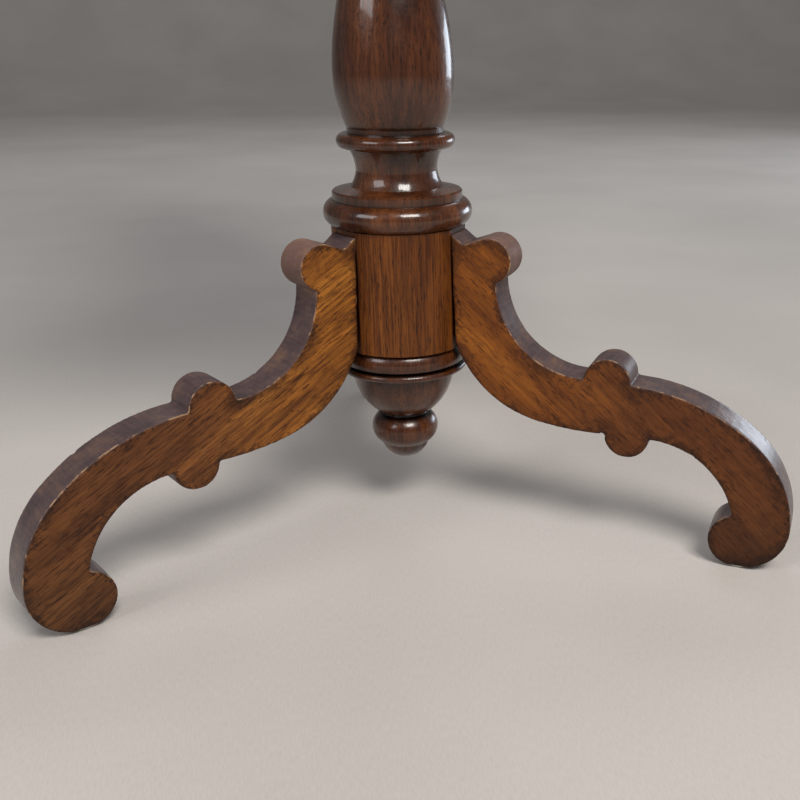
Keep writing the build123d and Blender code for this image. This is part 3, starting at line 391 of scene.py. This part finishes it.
def foil():
    """Soft grey tea lead, pressed and creased."""
    s = Surface("tea_foil")
    creases = s.add("TexVoronoi", {"Vector": s.object_place(), "Scale": 60, "Randomness": 1.0},
                    feature="DISTANCE_TO_EDGE")
    soft = s.noise(s.object_place(), 45, 4, 0.6)
    height = s.math("ADD", s.math("MULTIPLY", s.spread(creases, 0.0, 0.25), 0.35), soft)
    s.shade(Base_Color=s.mix(s.spread(soft, 0.35, 0.7), (0.42, 0.42, 0.40), (0.60, 0.60, 0.57)), Metallic=1.0,
            Roughness=s.spread(soft, 0.3, 0.7, 0.34, 0.50), Normal=s.bump(height, 0.0008, 0.45))
    return s.material


def bone():
    """Turned bone, streaked, brown in its grooves."""
    s = Surface("turned_bone")
    place = s.stretched(s.object_place(), (1, 1, 0.1))
    streak = s.noise(place, 1800, 3, 0.55)
    colour = s.mix(s.spread(streak, 0.35, 0.7), (0.70, 0.60, 0.42), (0.84, 0.78, 0.63))
    colour = s.mix(s.spread(s.hollow(0.003), 0.9, 0.5, 0, 0.8), colour, (0.30, 0.20, 0.10))
    s.shade(Base_Color=colour, Roughness=0.28, Subsurface_Weight=0.15, Subsurface_Scale=0.002,
            Normal=s.bump(streak, 0.00004, 0.5))
    return s.material


def glass():
    """Clear glass, faintly wavy."""
    s = Surface("clear_glass")
    waves = s.noise(s.object_place(), 30, 2, 0.5)
    s.shade(Base_Color=(0.93, 0.97, 0.95, 1), Roughness=0.015, IOR=1.52, Transmission_Weight=1.0,
            Normal=s.bump(waves, 0.0012, 0.25))
    return s.material


def velvet():
    """Cut silk pile, brushed into lighter and darker patches."""
    s = Surface("silk_velvet")
    brushed = s.noise(s.stretched(s.object_place(), (1, 1, 0.45)), 15, 3, 0.5, 0.3)
    pile = s.noise(s.object_place(), 2600, 2, 0.6)
    colour = s.mix(s.spread(brushed, 0.36, 0.66), (0.120, 0.011, 0.020), (0.165, 0.018, 0.030))
    colour = s.mix(s.spread(pile, 0.4, 0.7, 0, 0.5), colour, (0.045, 0.004, 0.010))
    height = s.math("ADD", s.math("MULTIPLY", brushed, 1.6), pile)
    s.shade(Base_Color=colour, Roughness=0.92, Sheen_Weight=0.35, Sheen_Roughness=0.35,
            Sheen_Tint=(0.85, 0.35, 0.40, 1), Normal=s.bump(height, 0.00030, 0.6))
    return s.material


def baize():
    """Green felt, faded in patches."""
    s = Surface("green_baize")
    felt = s.noise(s.object_place(), 1500, 4, 0.7)
    soft = s.noise(s.object_place(), 60, 3, 0.6)
    colour = s.mix(s.spread(felt, 0.3, 0.7), (0.020, 0.060, 0.030), (0.060, 0.150, 0.080))
    colour = s.mix(s.spread(soft, 0.45, 0.7, 0, 0.4), colour, (0.10, 0.16, 0.09))
    s.shade(Base_Color=colour, Roughness=0.95, Sheen_Weight=0.3, Sheen_Roughness=0.5,
            Normal=s.bump(felt, 0.0003, 0.9))
    return s.material


def braid():
    """Dull gold silk thread of the cords."""
    s = Surface("gimp_braid")
    thread = s.noise(s.object_place(), 1700, 3, 0.6)
    colour = s.mix(s.spread(thread, 0.35, 0.7), (0.20, 0.12, 0.035), (0.46, 0.32, 0.12))
    s.shade(Base_Color=colour, Roughness=0.6, Sheen_Weight=0.4, Normal=s.bump(thread, 0.0002, 0.8))
    return s.material


# ---------------------------------------------------------------- piece tools
def new_piece(name, mesh, body, slot, *replaced):
    """A piece of the scene that rides on a body, in place of the nodes that it replaces."""
    piece = bpy.data.objects.new(name, mesh)
    bpy.context.scene.collection.objects.link(piece)
    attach(piece, body)
    if replaced:
        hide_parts(*replaced)
    return piece


def mesh_of(work, name):
    """The mesh of a bmesh, which ends here."""
    mesh = bpy.data.meshes.new(name)
    work.to_mesh(mesh)
    work.free()
    return mesh


def smooth(mesh):
    """Smooth shading on every face."""
    mesh.polygons.foreach_set("use_smooth", [True] * len(mesh.polygons))
    return mesh


def dress(mesh, material):
    """This material and no other."""
    mesh.materials.clear()
    mesh.materials.append(material)


def modified(mesh, *settings):
    """The mesh after these modifiers, each (type, {setting: value})."""
    carrier = bpy.data.objects.new("carrier", mesh)
    bpy.context.scene.collection.objects.link(carrier)
    for kind, values in settings:
        modifier = carrier.modifiers.new(kind, kind)
        for key, value in values.items():
            setattr(modifier, key, value)
    bpy.context.view_layer.update()
    result = bpy.data.meshes.new_from_object(carrier.evaluated_get(bpy.context.evaluated_depsgraph_get()))
    bpy.data.objects.remove(carrier)
    return result


def closed_copy(node):
    """A node's mesh with the seams between its faces joined."""
    mesh = nodes[node].data.copy()
    work = bmesh.new()
    work.from_mesh(mesh)
    bmesh.ops.remove_doubles(work, verts=work.verts, dist=seam_gap)
    work.to_mesh(mesh)
    work.free()
    return mesh


def vectors_of(items, field):
    """A vector field of a mesh's points, as rows of an array."""
    rows = np.zeros(len(items) * 3, np.float32)
    items.foreach_get(field, rows)
    return rows.reshape(-1, 3).astype(float)


def points_of(mesh):
    """The places of a mesh's points."""
    return vectors_of(mesh.vertices, "co")


def place_points(mesh, places):
    """Moves a mesh's points to these places."""
    mesh.vertices.foreach_set("co", places.astype(np.float32).ravel())
    mesh.update()


# ---------------------------------------------------------------- legs
def leg_mesh():
    """One leg in its own plane, finely and evenly meshed, with each point's distance to the nearest arris."""
    mesh = closed_copy("leg_rear")
    mesh.transform(Matrix.Rotation(-leg_azimuths["leg_rear"], 4, "Z"))
    mesh = modified(mesh, ("REMESH", {"mode": "VOXEL", "voxel_size": leg_voxel}))
    places = points_of(mesh)
    half = leg_thick / 2
    depth = np.abs(places[:, 1])
    on_rim = (depth < half - face_depth) & (depth > half - rim_depth)
    rim = kdtree.KDTree(int(on_rim.sum()))
    for index, (x, _, z) in enumerate(places[on_rim]):
        rim.insert((x, 0, z), index)
    rim.balance()
    edge = half - depth
    for index in np.nonzero(depth >= half - face_depth)[0]:
        x, _, z = places[index]
        edge[index] = rim.find((x, 0, z))[2]
    return mesh, np.maximum(edge, 0)


def wear(places, normals, edge, seed):
    """Chips out of the arrises, hollows worn by hands and feet, and small dents."""
    moved = places.copy()
    for index, (place, normal) in enumerate(zip(places, normals)):
        at = Vector(place) + Vector((seed, 0, seed / 2))
        depth = dent_depth * noise.noise(at * 45) + fine_dent_depth * noise.noise(at * 160)
        if edge[index] < arris_reach:
            nearness = 1 - edge[index] / arris_reach
            chip = noise.noise(at * 75) - 0.50
            if chip > 0:
                depth -= min(chip_depth, chip_slope * chip) * nearness
            depth -= rub_depth * (0.5 + noise.noise(at * 120)) * nearness
        moved[index] += normal * depth
    return moved


def make_legs():
    """The three legs: one form, each with its own wear and its own board."""
    base, edge = leg_mesh()
    places = points_of(base)
    normals = vectors_of(base.vertex_normals, "vector")
    for count, (name, azimuth) in enumerate(leg_azimuths.items()):
        mesh = base.copy()
        place_points(mesh, wear(places, normals, edge, 3.7 * count))
        mesh.attributes.new("edge", "FLOAT", "POINT").data.foreach_set("value", edge.astype(np.float32))
        mesh.transform(Matrix.Rotation(azimuth, 4, "Z"))
        smooth(mesh)
        dress(mesh, leg_walnut(f"walnut_{name}", azimuth, *leg_boards[name], 1.3 + 2.9 * count))
        new_piece(f"{name}_walnut", mesh, "stand", "walnut_legs", name)


# ---------------------------------------------------------------- glides
def lathe(profile, turns=48):
    """A closed turned form from (radius, height) points that start and end on the axis."""
    work = bmesh.new()
    rings = []
    for radius, height in profile:
        if radius == 0:
            rings.append([work.verts.new((0, 0, height))] * turns)
        else:
            angles = [2 * pi * step / turns for step in range(turns)]
            rings.append([work.verts.new((radius * cos(a), radius * sin(a), height)) for a in angles])
    for low, high in zip(rings, rings[1:]):
        for step in range(turns):
            corners = (low[step], low[(step + 1) % turns], high[(step + 1) % turns], high[step])
            work.faces.new(list(dict.fromkeys(corners)))
    bmesh.ops.recalc_face_normals(work, faces=work.faces)
    return smooth(mesh_of(work, "turned_form"))


def joined(meshes, material):
    """These meshes as one, smooth and of one material."""
    work = bmesh.new()
    for mesh in meshes:
        work.from_mesh(mesh)
    whole = smooth(mesh_of(work, "joined_form"))
    dress(whole, material)
    return whole


def make_glides(material):
    """Domed nickel glides, nearly as wide as the feet, with the nails that hold them."""
    # the disc, in shares of its radius and height, and then the nail
    disc = ((0, 0), (0.55, 0), (0.86, 0.15), (1, 0.55), (1, 0.80), (0.97, 1))
    profile = [(out * glide_radius, up * glide_height) for out, up in disc]
    profile += [(nail_radius, glide_height), (nail_radius, nail_neck), (0, nail_length)]
    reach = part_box("foot_glides")[1][1] - cad_glide_radius
    meshes = []
    for azimuth in leg_azimuths.values():
        mesh = lathe(profile)
        mesh.transform(Matrix.Rotation(azimuth, 4, "Z") @ Matrix.Translation((reach, 0, 0)))
        meshes.append(mesh)
    new_piece("nickel_glides", joined(meshes, material), "stand", "steel", "foot_glides")


# ---------------------------------------------------------------- soft pieces
def pad_rise(x, y, inward, side, pucker, channel):
    """Height of a pad's skin without its crown: rounded rim, sewn channel, puckers beside the seams."""
    round_in = min(1.0, inward / (1.3 * side))
    rise = side * (1 - (1 - round_in) ** 2) ** 0.5
    if channel:
        rise -= 0.75 * side * exp(-((inward - channel) / channel_width) ** 2)
    seam_pull = 1.0 / (1 + abs(inward - channel) / pucker_reach)
    fold = noise.noise(Vector((85 * x, 85 * y, 3.0))) + 0.6 * noise.noise(Vector((240 * x, 240 * y, 7.0)))
    return rise + pucker * fold * min(1.0, inward / pucker_start) * (0.3 + 2.2 * seam_pull)


def pad_mesh(width, depth, side, crown, pucker, steps, channel=0.0):
    """A crowned pad, flat below at z = 0, whose sides pull in between its corners."""
    work = bmesh.new()
    line = [sin(pi / 2 * (2 * step / steps - 1)) for step in range(steps + 1)]
    rows = []
    for v in line:
        row = []
        for u in line:
            x = width / 2 * u * (1 - waist_x * (1 - v * v) * abs(u) ** 5)
            y = depth / 2 * v * (1 - waist_y * (1 - u * u) * abs(v) ** 5)
            inward = min(width / 2 * (1 - abs(u)), depth / 2 * (1 - abs(v)))
            rise = pad_rise(x, y, inward, side, pucker, channel) + crown * (1 - u ** 4) * (1 - v ** 4)
            row.append(work.verts.new((x, y, max(0.0, rise))))
        rows.append(row)
    for low, high in zip(rows, rows[1:]):
        for step in range(steps):
            work.faces.new((low[step], low[step + 1], high[step + 1], high[step]))
    border = rows[0] + [row[-1] for row in rows[1:]] + rows[-1][-2::-1] + [row[0] for row in rows[-2:0:-1]]
    work.faces.new(border[::-1])
    bmesh.ops.recalc_face_normals(work, faces=work.faces)
    mesh = mesh_of(work, "pad")
    # the flat underside is the one face that stays flat shaded
    mesh.polygons.foreach_set("use_smooth", [len(face.vertices) == 4 for face in mesh.polygons])
    return mesh


def twisted_cord(path, radius, pitch, around=10):
    """A two-strand twisted cord along a closed path of points."""
    work = bmesh.new()
    rings = []
    length = 0.0
    count = len(path)
    total = sum((path[i] - path[i - 1]).length for i in range(count))
    turns = round(total / pitch)
    for index, point in enumerate(path):
        ahead = (path[(index + 1) % count] - path[index - 1]).normalized()
        side = ahead.cross(Vector((0, 0, 1))).normalized()
        twist = 2 * pi * turns * length / total
        ring = []
        for step in range(around):
            angle = 2 * pi * step / around
            swell = radius * (0.80 + 0.20 * cos(2 * (angle - twist)))
            offset = side * swell * cos(angle) + Vector((0, 0, swell * sin(angle)))
            ring.append(work.verts.new(point + offset))
        rings.append(ring)
        length += (path[(index + 1) % count] - point).length
    for index, low in enumerate(rings):
        high = rings[(index + 1) % count]
        for step in range(around):
            work.faces.new((low[step], low[(step + 1) % around], high[(step + 1) % around], high[step]))
    bmesh.ops.recalc_face_normals(work, faces=work.faces)
    return smooth(mesh_of(work, "twisted_cord"))


def rounded_path(width, depth, corner, height):
    """Even points round a rectangle with round corners."""
    path = []
    for turn, (sx, sy) in enumerate(((1, 1), (-1, 1), (-1, -1), (1, -1))):
        middle = Vector((sx * (width / 2 - corner), sy * (depth / 2 - corner), height))
        steps = max(6, round(corner * pi / 2 / cord_step))
        for step in range(steps):
            angle = pi / 2 * (turn + step / steps)
            path.append(middle + Vector((corner * cos(angle), corner * sin(angle), 0)))
        run = (depth if turn % 2 else width) - 2 * corner
        start = path[-1]
        heading = pi / 2 * (turn + 1)
        ahead = Vector((-sin(heading), cos(heading), 0))
        steps = round(run / cord_step)
        path += [start + ahead * run * step / steps for step in range(1, steps)]
    return path


def round_path(radius, y, height):
    """Even points round a circle in the middle of the chest's width."""
    steps = round(2 * pi * well_radius / cord_step)
    angles = [2 * pi * step / steps for step in range(steps)]
    return [Vector((radius * cos(a), y + radius * sin(a), height)) for a in angles]


def shut_to_open():
    """The turn about the hinge that carries the shut lid to the pose the model is drawn in."""
    hinge = next(joint for joint in frame["joints"] if joint["name"] == "lid_hinge")
    pivot = Matrix.Translation(hinge["pos_m"])
    return pivot @ Matrix.Rotation(radians(hinge["range_deg"][0]), 4, "X") @ pivot.inverted()


def shut_box(node, shut):
    """Lowest and highest corners of a node of the lid, with the lid shut."""
    places = np.array([tuple(shut @ Vector(place)) for place in points_of(nodes[node].data)])
    return places.min(axis=0), places.max(axis=0)


def make_lid_lining(cloth, cord):
    """Padded velvet panel in the lid, with twisted cords sewn round its edge and along its channel."""
    opening = shut_to_open()
    low, high = shut_box("lid_lining", opening.inverted())
    width, depth, thick = high - low
    middle = (low + high) / 2
    place = opening @ Matrix.Translation((middle[0], middle[1], high[2])) @ Matrix.Rotation(pi, 4, "X")
    play, pucker, steps = 0.001, 0.00055, 180
    panel = pad_mesh(width - play, depth - play, 0.85 * thick, 0.65 * thick, pucker, steps, lining_channel)
    panel.transform(place)
    dress(panel, cloth)
    new_piece("lid_panel_velvet", panel, "lid", "velvet", "lid_lining")
    cords = []
    # each cord's way in on both sides together, its corners' radius and its height
    for inset, corner, height in ((0.004, 0.006, 0.5 * thick), (2 * lining_channel, 0.004, 0.6 * thick)):
        path = rounded_path(width - inset, depth - inset, corner, height)
        cords.append(twisted_cord(path, braid_radius, braid_pitch))
    edging = joined(cords, cord)
    edging.transform(place)
    new_piece("lid_panel_cord", edging, "lid", "velvet")


def make_canister_pads(cloth):
    """Baize pads under the canisters."""
    low, high = (Vector(corner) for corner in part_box("canister_pads"))
    places = points_of(nodes["canister_pads"].data)
    inner = np.abs(places[:, 0]).min()
    thick, crown, pucker, steps = 0.0022, 0.0007, 0.0001, 40
    for side, name in ((-1, "left"), (1, "right")):
        pad = pad_mesh(high.x - inner, high.y - low.y, thick, crown, pucker, steps)
        pad.transform(Matrix.Translation((side * (high.x + inner) / 2, 0, low.z)))
        dress(pad, cloth)
        replaced = ("canister_pads",) if side < 0 else ()
        new_piece(f"baize_pad_{name}", pad, "stand", "baize", *replaced)


def make_deck(cloth, cord):
    """The velvet that wraps the deck board, soft over its edges, and a cord round each well."""
    mesh = modified(closed_copy("well_deck"), ("REMESH", {"mode": "VOXEL", "voxel_size": velvet_voxel}),
                    ("SMOOTH", {"factor": 0.5, "iterations": 5}))
    places = points_of(mesh)
    low, high = (np.array(corner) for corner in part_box("well_deck"))
    for index, place in enumerate(places):
        if place[2] > (low[2] + high[2]) / 2:
            places[index][2] -= velvet_sag * (1 + noise.noise(Vector(place) * 60))
    place_points(mesh, places)
    smooth(mesh)
    dress(mesh, cloth)
    new_piece("deck_velvet", mesh, "stand", "velvet", "well_deck")
    rings = []
    for y in (-well_spread / 2, well_spread / 2):
        path = round_path(well_radius + well_cord_out, y, high[2] - well_cord_sunk)
        rings.append(twisted_cord(path, well_cord_radius, well_cord_pitch))
    new_piece("well_cords", joined(rings, cord), "stand", "velvet")


# ---------------------------------------------------------------- screws
def parts_of(mesh):
    """The points of each separate solid of a mesh, in the mesh's own order."""
    places = points_of(mesh)
    neighbours = [[] for _ in places]
    for edge in mesh.edges:
        first, second = edge.vertices
        neighbours[first].append(second)
        neighbours[second].append(first)
    seen = set()
    for start in range(len(places)):
        if start in seen:
            continue
        found, front = {start}, [start]
        while front:
            fresh = set(neighbours[front.pop()]) - found
            found |= fresh
            front += fresh
        seen |= found
        yield places[sorted(found)]


def slot_box(places, spin):
    """Where a screwdriver's slot goes, as a unit cube's transform: across the wider end of a screw."""
    middle = places.mean(axis=0)
    _, _, axes = np.linalg.svd(places - middle, full_matrices=False)
    axis = axes[0]
    along = (places - middle) @ axis
    aside = np.linalg.norm(places - middle - np.outer(along, axis), axis=1)
    end = 0.0003
    if aside[along > along.max() - end].max() < aside[along < along.min() + end].max():
        axis, along = -axis, -along
    head = aside.max()
    top = middle + axis * along.max()
    turn = Vector(axis).to_track_quat("Z", "Y").to_matrix().to_4x4()
    size = Matrix.Diagonal((slot_length * head, slot_width * head, slot_depth * head, 1))
    return Matrix.Translation(top) @ turn @ Matrix.Rotation(spin, 4, "Z") @ size


def slot_screws(node, body, slot, material):
    """A node's screws with slots cut in their heads, each left at its own angle."""
    mesh = closed_copy(node)
    work = bmesh.new()
    for count, places in enumerate(parts_of(mesh)):
        bmesh.ops.create_cube(work, size=1.0, matrix=slot_box(places, 0.7 + 1.9 * count))
    cutter = bpy.data.objects.new("slots", mesh_of(work, "slots"))
    bpy.context.scene.collection.objects.link(cutter)
    mesh = modified(mesh, ("BOOLEAN", {"operation": "DIFFERENCE", "object": cutter, "solver": "EXACT"}))
    bpy.data.objects.remove(cutter)
    dress(mesh, material)
    new_piece(f"{node}_slotted", mesh, body, slot, node)


make_legs()

# ---------------------------------------------------------------- finishes of the CAD nodes
brass = metal("brass", (0.62, 0.42, 0.15), (0.22, 0.14, 0.06), 0.24, 0.46)
steel = metal("steel", (0.50, 0.49, 0.47), (0.24, 0.21, 0.18), 0.26, 0.50)
glide_nickel = metal("glide_nickel", (0.72, 0.71, 0.68), (0.42, 0.40, 0.36), 0.25, 0.5)
silk, gimp = velvet(), braid()
quarter_turn = radians(90)
# each finish with its nodes; the rest is brass
finishes = (
    (block_walnut(), ("leg_block",)),
    (turned_walnut("walnut_column", 0.6, 0.08, 4.1), ("column",)),
    (turned_walnut("walnut_finial", 0.55, 0.17, 6.3), ("drop_finial",)),
    (case_walnut("walnut_front", 0, 0, 5.1),
     ("bearer", "chest_front", "chest_back", "lid_front_rail", "lid_back_rail", "lid_moulding")),
    (case_walnut("walnut_plinth", 0, 0, 2.6, mitre=chest_mitre), ("base_moulding",)),
    (case_walnut("walnut_ends", quarter_turn, 0, 6.4), ("chest_left", "chest_right")),
    (case_walnut("walnut_lid_sides", 0, quarter_turn, 8.8), ("lid_left_rail", "lid_right_rail")),
    (case_walnut("walnut_lid", 0, 0, 7.9, matched=True), ("lid_top",)),
    (case_walnut("walnut_canister", quarter_turn, 0, 3.3, coat=0.4),
     ("canister_left_lid", "canister_right_lid")),
    (case_walnut("walnut_canister_box", 0, quarter_turn, 9.2, coat=0.4),
     ("canister_left_box", "canister_right_box")),
    (inside_wood(), ("chest_bottom", "partition_left", "partition_right")),
    (glass(), ("bowl_front", "bowl_back")),
    (foil(), ("canister_left_foil", "canister_right_foil")),
    (bone(), ("canister_left_knob", "canister_right_knob")),
    (steel, ("key",)),
    (glide_nickel, ("foot_glides",)),
)
for node in nodes.values():
    dress(node.data, brass)
for material, names in finishes:
    for name in names:
        dress(nodes[name].data, material)

make_glides(glide_nickel)
make_lid_lining(silk, gimp)
make_deck(silk, gimp)
make_canister_pads(baize())
slot_screws("hinge_screws_chest", "stand", "brass", brass)
slot_screws("hinge_screws_lid", "lid", "brass", brass)
slot_screws("bearer_screws", "stand", "steel", steel)


# ---------------------------------------------------------------- stage
def paper(name, tone):
    """Plain matt paper, faintly clouded."""
    s = Surface(name)
    fibre = s.noise(s.stretched(s.object_place(), (6, 1, 6)), 160, 4, 0.6)
    cloud = s.noise(s.object_place(), 3, 3, 0.5)
    value = s.math("ADD", s.math("MULTIPLY", fibre, 0.5), s.math("MULTIPLY", cloud, 0.5))
    light = tuple(min(1.0, 1.08 * c) for c in tone)
    dark = tuple(0.92 * c for c in tone)
    s.shade(Base_Color=s.mix(s.spread(value, 0.3, 0.7), dark, light), Roughness=0.85)
    return s.material


def make_stage():
    """A pale floor that turns up into a backdrop far behind."""
    near, far, width, bend, height = -6.0, 6.0, 8.0, 2.0, 7.0
    floor_tone = (0.54, 0.50, 0.465)
    steps = 12
    profile = [(near, 0.0), (far - bend, 0.0)]
    for step in range(1, steps + 1):
        angle = step / steps * pi / 2
        profile.append((far - bend + bend * sin(angle), bend - bend * cos(angle)))
    profile.append((far, height))
    work = bmesh.new()
    rows = [[work.verts.new((x, y, z)) for x in (-width, width)] for y, z in profile]
    for low, high in zip(rows, rows[1:]):
        work.faces.new((low[0], low[1], high[1], high[0]))
    mesh = smooth(mesh_of(work, "studio_floor"))
    dress(mesh, paper("pale_floor", floor_tone))
    floor = bpy.data.objects.new("studio_floor", mesh)
    bpy.context.scene.collection.objects.link(floor)


def soft_light(name, place, target, size, power, colour):
    """A rectangular lamp that faces its target; power in watts."""
    lamp = bpy.data.lights.new(name, "AREA")
    lamp.shape = "RECTANGLE"
    lamp.size, lamp.size_y = size
    lamp.energy = power
    lamp.color = colour
    holder = bpy.data.objects.new(name, lamp)
    holder.location = place
    holder.rotation_euler = (Vector(target) - Vector(place)).to_track_quat("-Z", "Y").to_euler()
    holder.visible_camera = False
    bpy.context.scene.collection.objects.link(holder)


def light_stage():
    """A pale sky, a key from the front, a fill, and two cool lights from behind."""
    world = bpy.data.worlds.new("studio")
    world.use_nodes = True
    background = world.node_tree.nodes["Background"]
    background.inputs["Color"].default_value = (0.92, 0.95, 1.0, 1)
    background.inputs["Strength"].default_value = 0.18
    bpy.context.scene.world = world
    base = (0, 0, 0.3)
    soft_light("key_light", (0.65, -2.1, 2.6), base, (1.3, 1.0), 90, (1.0, 0.97, 0.93))
    soft_light("fill_light", (-2.4, -1.4, 2.0), base, (1.6, 1.2), 32, (0.97, 0.98, 1.0))
    soft_light("back_light", (0.5, 2.6, 2.4), base, (2.4, 1.0), 18, (0.90, 0.95, 1.0))
    soft_light("window", (2.6, 1.8, 0.45), (0, 0, 0.2), (1.2, 0.7), 17, (0.78, 0.88, 1.0))


def place_camera():
    """Close in front, looking down at the legs and the column's foot."""
    heading, pitch, roll = radians(10.7), radians(22.81), radians(-0.21)
    place = (-0.0680, -0.7557, 0.3754)
    forward = Vector((sin(heading) * cos(pitch), cos(heading) * cos(pitch), -sin(pitch)))
    right = Vector((cos(heading), -sin(heading), 0))
    down = forward.cross(right)
    tilted_right = cos(roll) * right + sin(roll) * down
    tilted_down = cos(roll) * down - sin(roll) * right
    turn = Matrix((tilted_right, -tilted_down, -forward)).transposed()
    lens = bpy.data.cameras.new("camera")
    lens.sensor_width = 36
    lens.lens = 45.0
    lens.shift_x, lens.shift_y = -0.1195, 0.0524
    lens.clip_start = 0.02
    camera = bpy.data.objects.new("camera", lens)
    camera.matrix_world = Matrix.Translation(place) @ turn.to_4x4()
    bpy.context.scene.collection.objects.link(camera)
    bpy.context.scene.camera = camera


make_stage()
light_stage()
place_camera()
bpy.context.scene.view_settings.view_transform = "Standard"
